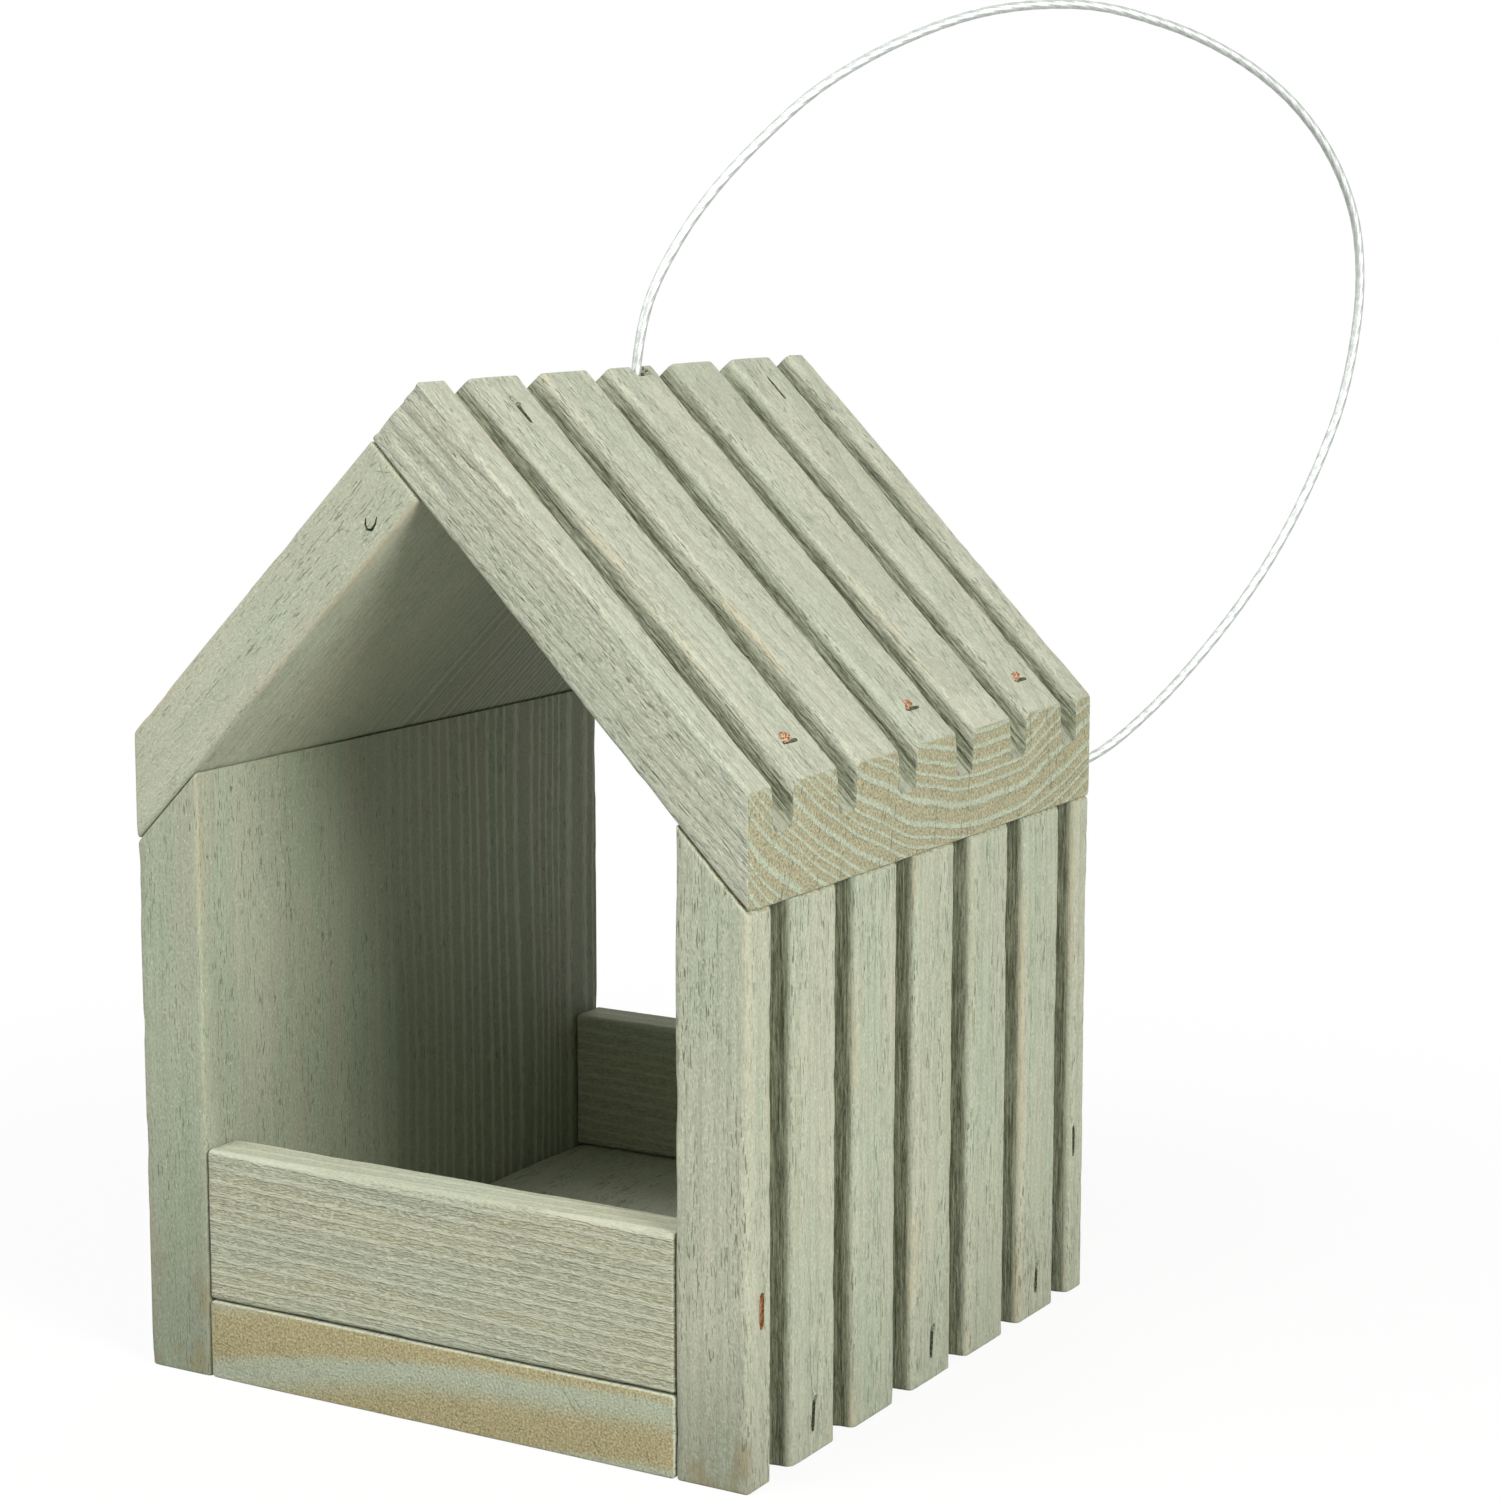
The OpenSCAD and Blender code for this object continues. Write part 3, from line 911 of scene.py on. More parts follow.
@dataclass(frozen=True)
class Wire:
    """Drawn wire or pressed tube of metal, whose spangle or tarnish follows the size of its cells."""

    name: str
    light: str
    dark: str
    metallic: float
    roughness: float
    cell_mm: tuple[float, float, float]
    relief_mm: float

    def build(self) -> bpy.types.Material:
        """Makes the material, which is smoother where it is lighter.

        Returns:
            The material.
        """
        material, tree, shader = new_material(self.name)
        spot = add_node(tree, "ShaderNodeTexCoord").outputs["Object"]
        cells = tuple(1 / (mm * MM) for mm in self.cell_mm)
        scaled = add_node(tree, "ShaderNodeVectorMath", {0: spot, 1: cells}, operation="MULTIPLY")
        noise = add_node(tree, "ShaderNodeTexNoise", {"Vector": scaled, "Scale": 1.0, "Detail": 3.0})
        share = add_node(tree, "ShaderNodeMapRange", {0: noise, 1: 0.35, 2: 0.65})
        colour = add_node(tree, "ShaderNodeMix", {0: share, 6: srgb(self.dark), 7: srgb(self.light)},
                          data_type="RGBA")
        tree.links.new(colour.outputs[2], shader.inputs["Base Color"])
        rough = add_node(tree, "ShaderNodeMapRange", {0: noise, 1: 0.3, 2: 0.7, 3: self.roughness + 0.08,
                                                      4: self.roughness - 0.08})
        tree.links.new(rough.outputs[0], shader.inputs["Roughness"])
        shader.inputs["Metallic"].default_value = self.metallic
        bump = add_node(tree, "ShaderNodeBump", {"Distance": self.relief_mm * MM, "Height": noise})
        tree.links.new(bump.outputs[0], shader.inputs["Normal"])
        return material


# Bright zinc gone dull: light grey, with a soft spangle and no sharp reflections
GALVANISED_STRAND = Wire("galvanised_steel_strand", "#C6CAC7", "#B2B7B3", 1.0, 0.55, (1.4, 1.4, 1.4), 0.005)
# Pressed aluminium, brighter than the strand, with marks of the tool along it
CRIMPED_ALUMINIUM = Wire("crimped_aluminium", "#D3D6D8", "#9EA2A5", 1.0, 0.42, (0.4, 0.4, 2.5), 0.02)
# Rust over steel: half matt and orange-brown
BROWNED_STAPLE = Wire("browned_staple_wire", "#B07A4E", "#6B4A30", 0.35, 0.5, (0.8, 0.8, 0.8), 0.03)
# Steel that the stain has covered, so that it is hardly lighter than its slot
STAINED_STAPLE = Wire("stained_staple_wire", "#6E7260", "#3C3E30", 0.5, 0.55, (0.8, 0.8, 0.8), 0.03)


@dataclass
class Board:
    """A length of timber with eased edges whose faces stray from flat as real ones do."""

    name: str
    axes: Axes
    corners: list[Corner]
    low_end: EndCut
    high_end: EndCut
    finish: StainedPine
    slot_name: str
    seed: int
    step: float = 1.0
    # With the wear of the arrises this has to stay below the radius of each outer corner
    end_ease: float = 0.5
    arris_wear: float = 0.22
    wave: float = 0.1
    sawn_relief: float = 0.0
    torn_relief: float = 0.38
    cutters: list[tuple[Mould, bpy.types.Material]] = field(default_factory=list)

    def stations(self) -> list[tuple[float, float, float]]:
        """Where the section is repeated, with its edges drawn in round both ends.

        Returns:
            For each place its share of the length, its distance from that end and its inset, in mm.
        """
        turns = [math.pi / 2 * k / ARC_STEPS for k in range(ARC_STEPS)]
        ease = [(self.end_ease * (1 - math.cos(a)), self.end_ease * (1 - math.sin(a))) for a in turns]
        length = self.high_end.at - self.low_end.at
        steps = max(2, round((length - 2 * self.end_ease) / self.step))
        low = [(0.0, away, inset) for away, inset in ease]
        middle = [(k / steps, 0.0, 0.0) for k in range(steps + 1)]
        high = [(1.0, away, inset) for away, inset in reversed(ease)]
        return low + middle + high

    def stray(self, section: Section, spots: np.ndarray) -> np.ndarray:
        """How far each point of the mesh lies outside its ideal face, in mm.

        Args:
            section: the outline that was swept.
            spots: points of the mesh in the board's own coordinates, station by station.

        Returns:
            Distances along the outward normals, mostly a little inward.
        """
        # Each noise is given the size of its cells in mm, along the grain, across and outward
        wave = self.wave * (smooth_noise(spots / (24, 9, 9), self.seed) - 1) / 2
        nicks = smooth_noise(spots / (9, 4, 4), self.seed + 1)
        nicks += 0.4 * smooth_noise(spots / (3, 4, 4), self.seed + 2)
        wear = -self.arris_wear * fade(nicks, -0.3, 1.0)
        shred = smooth_noise(spots / (6.5, 0.95, 0.95), self.seed + 3)
        shred += 0.5 * smooth_noise(spots / (3.1, 0.6, 0.6), self.seed + 4)
        bow = smooth_noise(spots / (16, 7, 7), self.seed + 5)
        fuzz = smooth_noise(spots / (1.9, 0.9, 0.9), self.seed + 6) - 1
        return (wave + wear * section.weight(Surface.ARRIS)
                + self.torn_relief * (shred * 0.6 + bow * 0.55) * section.weight(Surface.TORN)
                + self.sawn_relief * fuzz * section.weight(Surface.SAWN))

    def mould(self) -> Mould:
        """Sweeps the section along the grain, from one end plane to the other.

        Returns:
            The mesh, in the house's coordinates in mm.
        """
        section = section_of(self.corners)
        stations = self.stations()
        ring = len(section.points)
        share, away, inset = (np.array(column)[:, None] for column in zip(*stations))
        # The noise goes by the ideal point's place along the grain, and the end planes are met after it
        low, high = self.low_end.at, self.high_end.at
        ideal = np.where(share <= 0, low + away,
                         np.where(share >= 1, high - away, low + (high - low) * share))
        flat = np.broadcast_to(section.points, (len(stations), ring, 2))
        spots = np.concatenate([np.broadcast_to(ideal[..., None], (len(stations), ring, 1)), flat], axis=2)
        out = self.stray(section, spots) - inset
        moved = section.points[None] + section.normals[None] * out[..., None]
        low_s = self.low_end.at + self.low_end.lean * moved[..., 1]
        high_s = self.high_end.at + self.high_end.lean * moved[..., 1]
        inner_low, inner_high = low_s + self.end_ease, high_s - self.end_ease
        along = np.where(inset > 0, np.where(share <= 0, low_s + away, high_s - away),
                         inner_low + (inner_high - inner_low) * share)
        local = np.concatenate([along[..., None], moved], axis=2).reshape(-1, 3)
        return tube(self.axes.place(local), ring, self.axes.handed() < 0)

    def masks(self, local: np.ndarray) -> dict[str, np.ndarray]:
        """What the finish has to know of each point of the mesh.

        Args:
            local: points in the board's own coordinates, in mm.

        Returns:
            Values from 0 to 1 for the masks end_grain, groove, worn, smooth and soiled.
        """
        low = np.abs(local[:, 0] - self.low_end.at - self.low_end.lean * local[:, 2])
        high = np.abs(local[:, 0] - self.high_end.at - self.high_end.lean * local[:, 2])
        end = (np.minimum(low, high) < ON_END_MM).astype(float)
        none = np.zeros(len(local))
        return {"end_grain": end, "groove": none, "worn": none, "smooth": none, "soiled_and_shaded": none}

    def build(self) -> bpy.types.Object:
        """Makes the board, carves what is cut out of it and writes its coordinates and masks.

        Returns:
            The board's object.
        """
        piece = self.mould().make(self.name + "_timber", self.finish.build())
        split_ends(piece.data)
        for number, (shape, material) in enumerate(self.cutters):
            carve(piece, shape.make(f"{self.name}_cutter_{number}", material))
        mesh = piece.data
        mesh.shade_smooth()
        mesh.set_sharp_from_angle(angle=math.radians(SHARP_DEG))
        spots = np.empty(len(mesh.vertices) * 3, np.float32)
        mesh.vertices.foreach_get("co", spots)
        local = self.axes.local(spots.reshape(-1, 3).astype(float) / MM)
        coordinates = mesh.attributes.new("board_mm", "FLOAT_VECTOR", "POINT")
        coordinates.data.foreach_set("vector", local.astype(np.float32).ravel())
        for name, values in self.masks(local).items():
            mesh.attributes.new(name, "FLOAT", "POINT").data.foreach_set("value", values.astype(np.float32))
        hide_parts(self.name)
        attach(piece, HOUSE)
        LOG.info("%s: %d faces", piece.name, len(mesh.polygons))
        return piece


@dataclass(frozen=True)
class GrooveStock:
    """The grooved board that walls and roof are cut from, in mm."""

    width: float = 142.0
    thickness: float = 15.5
    groove_w: float = 7.6
    groove_d: float = 6.0
    groove_taper: float = 0.9
    slat_w: float = 16.2
    edge_slat_w: float = 8.5
    slat_ease: float = 1.5
    back_ease: float = 0.9
    inner_ease: float = 0.9
    floor_ease: float = 0.7
    grooves: int = 6

    def slats(self) -> list[tuple[float, float]]:
        """Lays out the slats across the board, from its front edge.

        Returns:
            From and to of each slat, in mm.
        """
        spans = [(0.0, self.edge_slat_w)]
        for _ in range(self.grooves):
            start = spans[-1][1] + self.groove_w
            spans.append((start, min(start + self.slat_w, self.width)))
        return spans

    def slat_middle(self, number: int) -> float:
        """Middle of a slat, counted from the middle of the board's width."""
        start, finish = self.slats()[number]
        return (start + finish) / 2 - self.width / 2

    def corners(self) -> list[Corner]:
        """The section: the flat inner face, the two edges, and the slats with their grooves.

        Returns:
            Its corners, counter-clockwise from the front edge of the inner face.
        """
        top, floor = self.thickness, self.thickness - self.groove_d
        planed, torn = Surface.PLANED, Surface.TORN
        corners = [Corner(0.0, 0.0, self.inner_ease, planed, 2.5),
                   Corner(self.width, 0.0, self.inner_ease, planed, 2.0)]
        for number, (start, finish) in reversed(list(enumerate(self.slats()))):
            corners.append(Corner(finish, top, self.back_ease, planed, 1.6))
            if number:
                near, far = start - self.groove_taper, start - self.groove_w + self.groove_taper
                corners += [Corner(start, top, self.slat_ease, torn, 0.6),
                            Corner(near, floor, self.floor_ease, torn, 0.6),
                            Corner(far, floor, self.floor_ease, torn, 0.6)]
        corners.append(Corner(0.0, top, self.back_ease, Surface.FRONT, 0.8))
        return corners


STOCK = GrooveStock()


@dataclass
class GroovedBoard(Board):
    """A board of the grooved stock, with the marks of its years outside."""

    wear_seed: int = 0
    worn_most: float = 0.5
    # Depth at which a groove's side is fully darkened, partly stain-soaked torn fibres and partly painted
    # shade
    groove_shade_depth_mm: float = 2.0
    # Wear of the front arris inside
    worn_inner: float = 0.0
    # How far up the boards are darkened: outside at the foot, by dirt and painted shade, and inside behind
    # the rails, by painted shade alone
    foot_mm: float = 0.0
    inside_shade_mm: float = 0.0
    # How far along the grain the front edge is torn
    torn_to_mm: float = -99.0

    def stray(self, section: Section, spots: np.ndarray) -> np.ndarray:
        """Adds fibres torn out of the front edge near the ridge to the stray of a plain board.

        Args:
            section: the outline that was swept.
            spots: points of the mesh in the board's own coordinates, station by station.

        Returns:
            Distances along the outward normals, in mm.
        """
        out = super().stray(section, spots)
        front = (section.surfaces == Surface.FRONT.value)[None, :]
        reach = self.torn_to_mm + 9 * smooth_noise(spots / (30, 3, 1.6), self.seed + 7)
        torn = fade(spots[..., 0], reach, reach - 9) * front
        shred = smooth_noise(spots / (9, 3, 0.9), self.seed + 8)
        return out + torn * (shred * 0.35 - 0.3)

    def masks(self, local: np.ndarray) -> dict[str, np.ndarray]:
        """Adds grooves with their painted shade, rubbed arrises, and dirt and painted shade low down to the
        masks of a plain board. Their reaches are in mm.

        Args:
            local: points in the board's own coordinates, in mm.

        Returns:
            Values from 0 to 1 for each mask.
        """
        masks = super().masks(local)
        across, out = local[:, 1], local[:, 2]
        groove, worn = np.zeros(len(local)), np.zeros(len(local))
        slats = STOCK.slats()
        top, reach = STOCK.thickness, STOCK.groove_d
        for (_, left), (right, _) in zip(slats, slats[1:]):
            inside = (across > left - 0.9) & (across < right + 1.5) & (out > top - reach - 0.8)
            # Each side of the groove is darkened from its arris down to the floor, which stays light: partly
            # stain-soaked torn fibres, partly painted shade that deepens into the groove
            lean = (top - out) / reach * STOCK.groove_taper
            gap = np.minimum(np.abs(across - left - lean), np.abs(right - lean - across))
            dark = fade(top - out, 0.15, self.groove_shade_depth_mm) * fade(gap, 1.1, 0.55)
            low = 0.3 * fade(top - out, reach - 1.5, reach - 0.5)
            groove = np.where(inside, np.maximum(dark, low), groove)
        for start, finish in slats:
            for edge in (start, finish):
                away = np.hypot(across - edge, out - STOCK.thickness)
                worn = np.maximum(worn, fade(away, 1.8, 0.3))
        for edge in (0.0, STOCK.width):
            worn = np.maximum(worn, fade(np.hypot(across - edge, out), 1.6, 0.2))
        patches = fade(smooth_noise(local / (26, 7, 7), self.wear_seed), 0.0, 0.7)
        line = fade(np.hypot(across, out), 0.75, 0.35) * self.worn_inner * fade(local[:, 0], 30.0, 70.0)
        masks["groove"] = groove * (1 - masks["end_grain"])
        masks["worn"] = np.maximum(worn * patches * self.worn_most, line) * (1 - masks["end_grain"])
        if self.foot_mm:
            # The brown smudges sit on the front edge, and the slats are only a little darker toward the
            # bottom, as painted shade
            masks["soiled_and_shaded"] = fade(local[:, 0], self.foot_mm, 0.0) * (0.42 + 0.58 * fade(across, 7.0, 2.0))
        if self.inside_shade_mm:
            # Inside, behind the rails, the face is darkened further up as painted shade
            inside = fade(out, 1.5, 0.5) * fade(across, 1.0, 5.0)
            darkening = 0.6 * inside * fade(local[:, 0], self.inside_shade_mm, self.inside_shade_mm / 2)
            masks["soiled_and_shaded"] = np.maximum(masks["soiled_and_shaded"], darkening)
        return masks


@dataclass
class SawnRail(Board):
    """A rough-sawn rail whose top has been planed."""

    def masks(self, local: np.ndarray) -> dict[str, np.ndarray]:
        """Adds the smooth top to the masks of a plain board.

        Args:
            local: points in the board's own coordinates, in mm.

        Returns:
            Values from 0 to 1 for each mask.
        """
        masks = super().masks(local)
        top = self.corners[2].outward
        masks["smooth"] = fade(local[:, 2], top - 2.0, top - 0.6)
        return masks


@dataclass
class House:
    """The wooden body: two walls, two roof boards, a floor and two rails, all sizes in mm."""

    width: float = 140.0
    wall_h: float = 107.5
    floor_t: float = 16.0
    rail_h: float = 31.0
    rail_t: float = 10.0
    rail_ease: float = 1.4
    joint: float = 0.3
    rail_staple_up: float = 17.5
    ridge_staple_down: float = 9.0
    eave_staple_in: float = 5.5
    hole_d: float = 4.0
    hole_back: float = 2.5

    def __post_init__(self) -> None:
        """Works out the sizes that follow from the others, the woods that cuts lay open, and the painted
        shade inside slots.
        """
        self.wall_in = self.width / 2 - STOCK.thickness
        self.front = -STOCK.width / 2
        self.inner_wall_h = self.wall_h + STOCK.thickness
        self.inner_ridge_h = self.wall_h + self.width / 2
        self.eave_run = self.width / 2 * math.sqrt(2)
        self.slope_t = STOCK.thickness * math.sqrt(2)
        self.ridge_h = self.inner_ridge_h + self.slope_t
        self.shadow_wood = SLOT_SHADE.build()
        self.split_wood = SPLIT_PINE.build()
        self.rusty_wood = RUSTED_PINE.build()
        self.torn_wood = SOAKED_TEAR.build()

    def wall_cutters(self) -> list[tuple[Mould, bpy.types.Material]]:
        """Slots that the staples leave in a wall, in the place of the right wall.

        Returns:
            Closed cutters, each with the wood that it lays open.
        """
        face, inward = self.width / 2, (-1, 0, 0)
        slits: list[Mould] = []
        splits: list[Mould] = []
        for number, slat in enumerate((1, 3, 5)):
            y, z = STOCK.slat_middle(slat), self.floor_t / 2
            slits.append(FOOT_SLOT.cutter((face, y, z), (0, 0.08, 1), inward, 40 + number))
            splits.append(FOOT_SPLIT.cutter((face, y + 0.5, z + 2.4), (0, 0.5, 1), inward, 44 + number))
        rail_y, rail_z = STOCK.width / 2 - self.rail_t / 2, self.floor_t + self.rail_staple_up
        rusty = FRONT_RAIL_SLOT.cutter((face, -rail_y, rail_z), (0, 0, 1), inward, 50)
        slits.append(BACK_RAIL_SLOT.cutter((face, rail_y, rail_z), (0, 0, 1), inward, 51))
        return [(merged(slits), self.shadow_wood), (merged(splits), self.torn_wood), (rusty, self.rusty_wood)]

    def wall(self, side: int) -> GroovedBoard:
        """A wall board, with its grooves outward and its top bevelled under the roof.

        Args:
            side: 1 for the right wall and -1 for the left one.

        Returns:
            The board, not yet built.
        """
        axes = Axes((side * self.wall_in, self.front, 0.0), (0, 0, 1), (0, 1, 0), (side, 0, 0))
        high_end = EndCut(self.inner_wall_h - self.joint * math.sqrt(2), -1.0)
        cutters = self.wall_cutters()
        if side > 0:
            return GroovedBoard("right_wall", axes, STOCK.corners(), EndCut(0.0), high_end, RIGHT_WALL_PINE,
                                "stained_board", seed=11, wear_seed=21, cutters=cutters, foot_mm=38.0)
        cutters = [(shape.mirrored(), wood) for shape, wood in cutters]
        return GroovedBoard("left_wall", axes, STOCK.corners(), EndCut(0.0), high_end, LEFT_WALL_PINE,
                            "stained_board", seed=12, wear_seed=22, cutters=cutters, foot_mm=70.0,
                            inside_shade_mm=100.0, worn_inner=0.4)

    def roof_axes(self, side: int) -> Axes:
        """Axes of a roof board, from the inner corner of the ridge down the slope of 45 degrees."""
        return Axes((0.0, self.front, self.inner_ridge_h), (side, 0, -1), (0, 1, 0), (side, 0, 1))

    def roof(self, side: int) -> GroovedBoard:
        """A roof board, cut plumb at the eave. The right one laps over the end of the left one.

        Args:
            side: 1 for the right slope and -1 for the left one.

        Returns:
            The board, not yet built.
        """
        high_end, cutters = EndCut(self.eave_run, -1.0), self.roof_cutters(side)
        if side > 0:
            return GroovedBoard("right_roof", self.roof_axes(side), STOCK.corners(), EndCut(-STOCK.thickness),
                                high_end, RIGHT_ROOF_PINE, "stained_board", seed=13, wear_seed=23,
                                cutters=cutters, torn_to_mm=10.0, groove_shade_depth_mm=2.9)
        return GroovedBoard("left_roof", self.roof_axes(side), STOCK.corners(), EndCut(self.joint), high_end,
                            LEFT_ROOF_PINE, "stained_board", seed=14, wear_seed=24, cutters=cutters,
                            groove_shade_depth_mm=2.9)

    def roof_cutters(self, side: int) -> list[tuple[Mould, bpy.types.Material]]:
        """What staples, knocks and the cable hole take out of a roof board.

        Args:
            side: 1 for the right slope and -1 for the left one.

        Returns:
            Closed cutters, each with the wood that it lays open.
        """
        down = (side, 0, -1)
        into = (-side, 0, -1)
        slots: list[Mould] = []
        scoops: list[Mould] = []
        for number, slat in enumerate((1, 3, 5)):
            x = self.width / 2 - self.eave_staple_in
            centre = (side * x, STOCK.slat_middle(slat), self.wall_h + self.slope_t + self.eave_staple_in)
            slots.append(EAVE_SLOT.cutter(centre, (0, 1, 0), (0, 0, -1), 60 + number))
            torn = (centre[0] - side * 0.75, centre[1], centre[2] + 0.75)
            scoops.append(EAVE_SCOOP.cutter(torn, (0, 1, 0.3), into, 63 + number))
        drilled = Pit(self.hole_d, self.hole_d, depth=2 * self.slope_t, ragged=0.12, taper=1.0)
        hole = drilled.cutter((0.0, self.hole_back, self.ridge_h), (1, 0, 0), (0, 0, -1), 70)
        cutters = [(merged(slots), self.shadow_wood), (merged(scoops), self.split_wood),
                   (hole, self.shadow_wood)]
        if side > 0:
            chip = HOLE_CHIP.cutter((1.1, self.hole_back + 2.4, self.ridge_h - 1.1), (0, 1, 0), into, 71)
            drop = self.ridge_staple_down / math.sqrt(2)
            slits = [slot.cutter((drop, STOCK.slat_middle(slat), self.ridge_h - drop), down, into, seed)
                     for slot, slat, seed in ((FRONT_RIDGE_SLOT, 1, 72), (BACK_RIDGE_SLOT, 5, 73))]
            torn = (4.6, STOCK.slat_middle(1) + 0.3, self.ridge_h - 4.6)
            tear = RIDGE_TEAR.cutter(torn, (1, 0.4, -1), into, 75)
            cutters += [(chip, self.torn_wood), (merged(slits), self.shadow_wood), (tear, self.torn_wood)]
        else:
            # A hooked crack and three scratches on the front edge, as distances down from the ridge and out
            # from the inner face, with the width and depth of each
            hook = [(9.4, 4.6), (10.6, 3.9), (12.0, 3.7), (12.7, 4.5), (12.3, 5.4), (11.4, 6.2)]
            lines = [(hook, 0.95, 0.9),
                     ([(3.0, 7.6), (5.6, 6.2), (8.6, 5.0)], 0.22, 0.2),
                     ([(1.0, 12.0), (2.2, 10.2), (3.2, 7.2)], 0.26, 0.25),
                     ([(1.2, 8.2), (3.6, 10.8)], 0.3, 0.3)]
            for route, width, depth in lines:
                placed = self.roof_axes(side).place(np.array([(down_mm, 0.0, out) for down_mm, out in route]))
                cutters.append((scratch(placed.tolist(), (0, 1, 0), width, depth), self.shadow_wood))
        return cutters

    def floor(self) -> Board:
        """The floor board between the walls, with end grain at the front and the back.

        Returns:
            The board, not yet built.
        """
        half = self.wall_in - self.joint / 2
        axes = Axes((-half, 0.0, 0.0), (0, 1, 0), (1, 0, 0), (0, 0, 1))
        planed, ease = Surface.PLANED, STOCK.inner_ease
        corners = [Corner(0.0, 0.0, ease, planed, 3.0), Corner(2 * half, 0.0, ease, planed, 2.0),
                   Corner(2 * half, self.floor_t, ease, planed, 3.0),
                   Corner(0.0, self.floor_t, ease, planed, 2.0)]
        return Board("floor_board", axes, corners, EndCut(self.front), EndCut(-self.front), FLOOR_PINE,
                     "stained_board", seed=15, step=3.0)

    def rail(self, name: str, front: float, seed: int) -> Board:
        """A rough-sawn rail that stands on the floor board.

        Args:
            name: the node that it stands for.
            front: place of its front face along Y.
            seed: picks its grain.

        Returns:
            The board, not yet built.
        """
        half = self.wall_in - self.joint
        axes = Axes((0.0, front, self.floor_t + self.joint), (1, 0, 0), (0, 1, 0), (0, 0, 1))
        sawn, high, ease = Surface.SAWN, self.rail_h - self.joint, STOCK.inner_ease
        corners = [Corner(0.0, 0.0, ease, sawn, 1.2), Corner(self.rail_t, 0.0, ease, sawn, 1.0),
                   Corner(self.rail_t, high, self.rail_ease, sawn, 1.2),
                   Corner(0.0, high, self.rail_ease, sawn, 1.0)]
        finish = sawn_pine(name + "_sawn_pine", float(seed))
        return SawnRail(name, axes, corners, EndCut(-half), EndCut(half), finish, "sawn_rail", seed=seed,
                        step=0.9, sawn_relief=0.08, arris_wear=0.16)

    def build(self) -> None:
        """Builds the seven boards."""
        for side in (1, -1):
            self.wall(side).build()
            self.roof(side).build()
        self.floor().build()
        self.rail("front_rail", self.front, 16).build()
        self.rail("back_rail", -self.front - self.rail_t, 17).build()


@dataclass
class Staples:
    """Narrow-crown staples of square wire, one mesh for each place, in mm."""

    house: House
    crown_w: float = 6.0
    wire_w: float = 1.1
    leg_l: float = 27.0
    crown_sink: float = 0.9
    bend: float = 0.9

    def one(self, centre: Sequence[float], along: Sequence[float], drive: Sequence[float],
            raised: float = 0.0) -> Mould:
        """One staple, swept along its legs and crown.

        Args:
            centre: the middle of its crown at the face of the wood.
            along: direction of its crown.
            drive: direction of its legs.
            raised: how much less deep its crown sits than the others, in mm.

        Returns:
            Its mesh.
        """
        half, low = (self.crown_w - self.wire_w) / 2, self.crown_sink - raised + self.wire_w / 2
        foot = self.crown_sink + self.leg_l
        path = [(-half, foot), (-half, foot - 4), (-half, low + self.bend)]
        for k in range(1, 5):
            angle = math.pi / 2 * k / 4
            path.append((-half + self.bend * (1 - math.cos(angle)), low + self.bend * (1 - math.sin(angle))))
        path += [(-x, y) for x, y in reversed(path)]
        across, into = unit(along), unit(drive)
        side = np.cross(across, into)
        # The wire is square with its corners taken off
        half_wire, soft = self.wire_w / 2, 0.7
        ring = [(1, soft), (soft, 1), (-soft, 1), (-1, soft)]
        ring += [(-a, -b) for a, b in ring]
        points = []
        for i, spot in enumerate(path):
            before, after = path[max(i - 1, 0)], path[min(i + 1, len(path) - 1)]
            run = unit([after[0] - before[0], after[1] - before[1]])
            normal = across * run[1] - into * run[0]
            middle = np.array(centre) + across * spot[0] + into * spot[1]
            points += [middle + (normal * a + side * b) * half_wire for a, b in ring]
        return tube(points, len(ring), True)

    def build(self) -> None:
        """Builds the staples of each side and those of the ridge."""
        browned, stained = BROWNED_STAPLE.build(), STAINED_STAPLE.build()
        house, half = self.house, self.house.width / 2
        rail_y = STOCK.width / 2 - house.rail_t / 2
        rail_z = house.floor_t + house.rail_staple_up
        eave_x = half - house.eave_staple_in
        eave_z = house.wall_h + house.slope_t + house.eave_staple_in - self.wire_w
        for side, word in ((1, "right"), (-1, "left")):
            floor = [self.one((side * half, STOCK.slat_middle(n), house.floor_t / 2), (0, 0, 1),
                              (-side, 0, 0)) for n in (1, 3, 5)]
            rails = [self.one((side * half, y, rail_z), (0, 0, 1), (-side, 0, 0), raised)
                     for y, raised in ((-rail_y, 0.6), (rail_y, 0.0))]
            eaves = [self.one((side * eave_x, STOCK.slat_middle(n), eave_z), (0, 1, 0), (0, 0, -1))
                     for n in (1, 3, 5)]
            self.finish(f"{word}_floor_staples", floor, stained)
            self.finish(f"{word}_rail_staples", rails, browned)
            self.finish(f"{word}_eave_staples", eaves, browned)
        drop = house.ridge_staple_down / math.sqrt(2)
        ridge = [self.one((drop, STOCK.slat_middle(n), house.ridge_h - drop), (1, 0, -1), (-1, 0, -1))
                 for n in (1, 5)]
        self.finish("ridge_staples", ridge, stained)

    def finish(self, node: str, staples: list[Mould], material: bpy.types.Material) -> None:
        """Joins the staples of one place into one piece that stands for its node.

        Args:
            node: the node.
            staples: the staples' meshes.
            material: their finish.
        """
        piece = merged(staples).make(node + "_wire", material)
        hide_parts(node)
        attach(piece, HOUSE)
        LOG.info("%s: %d faces", piece.name, len(piece.data.polygons))


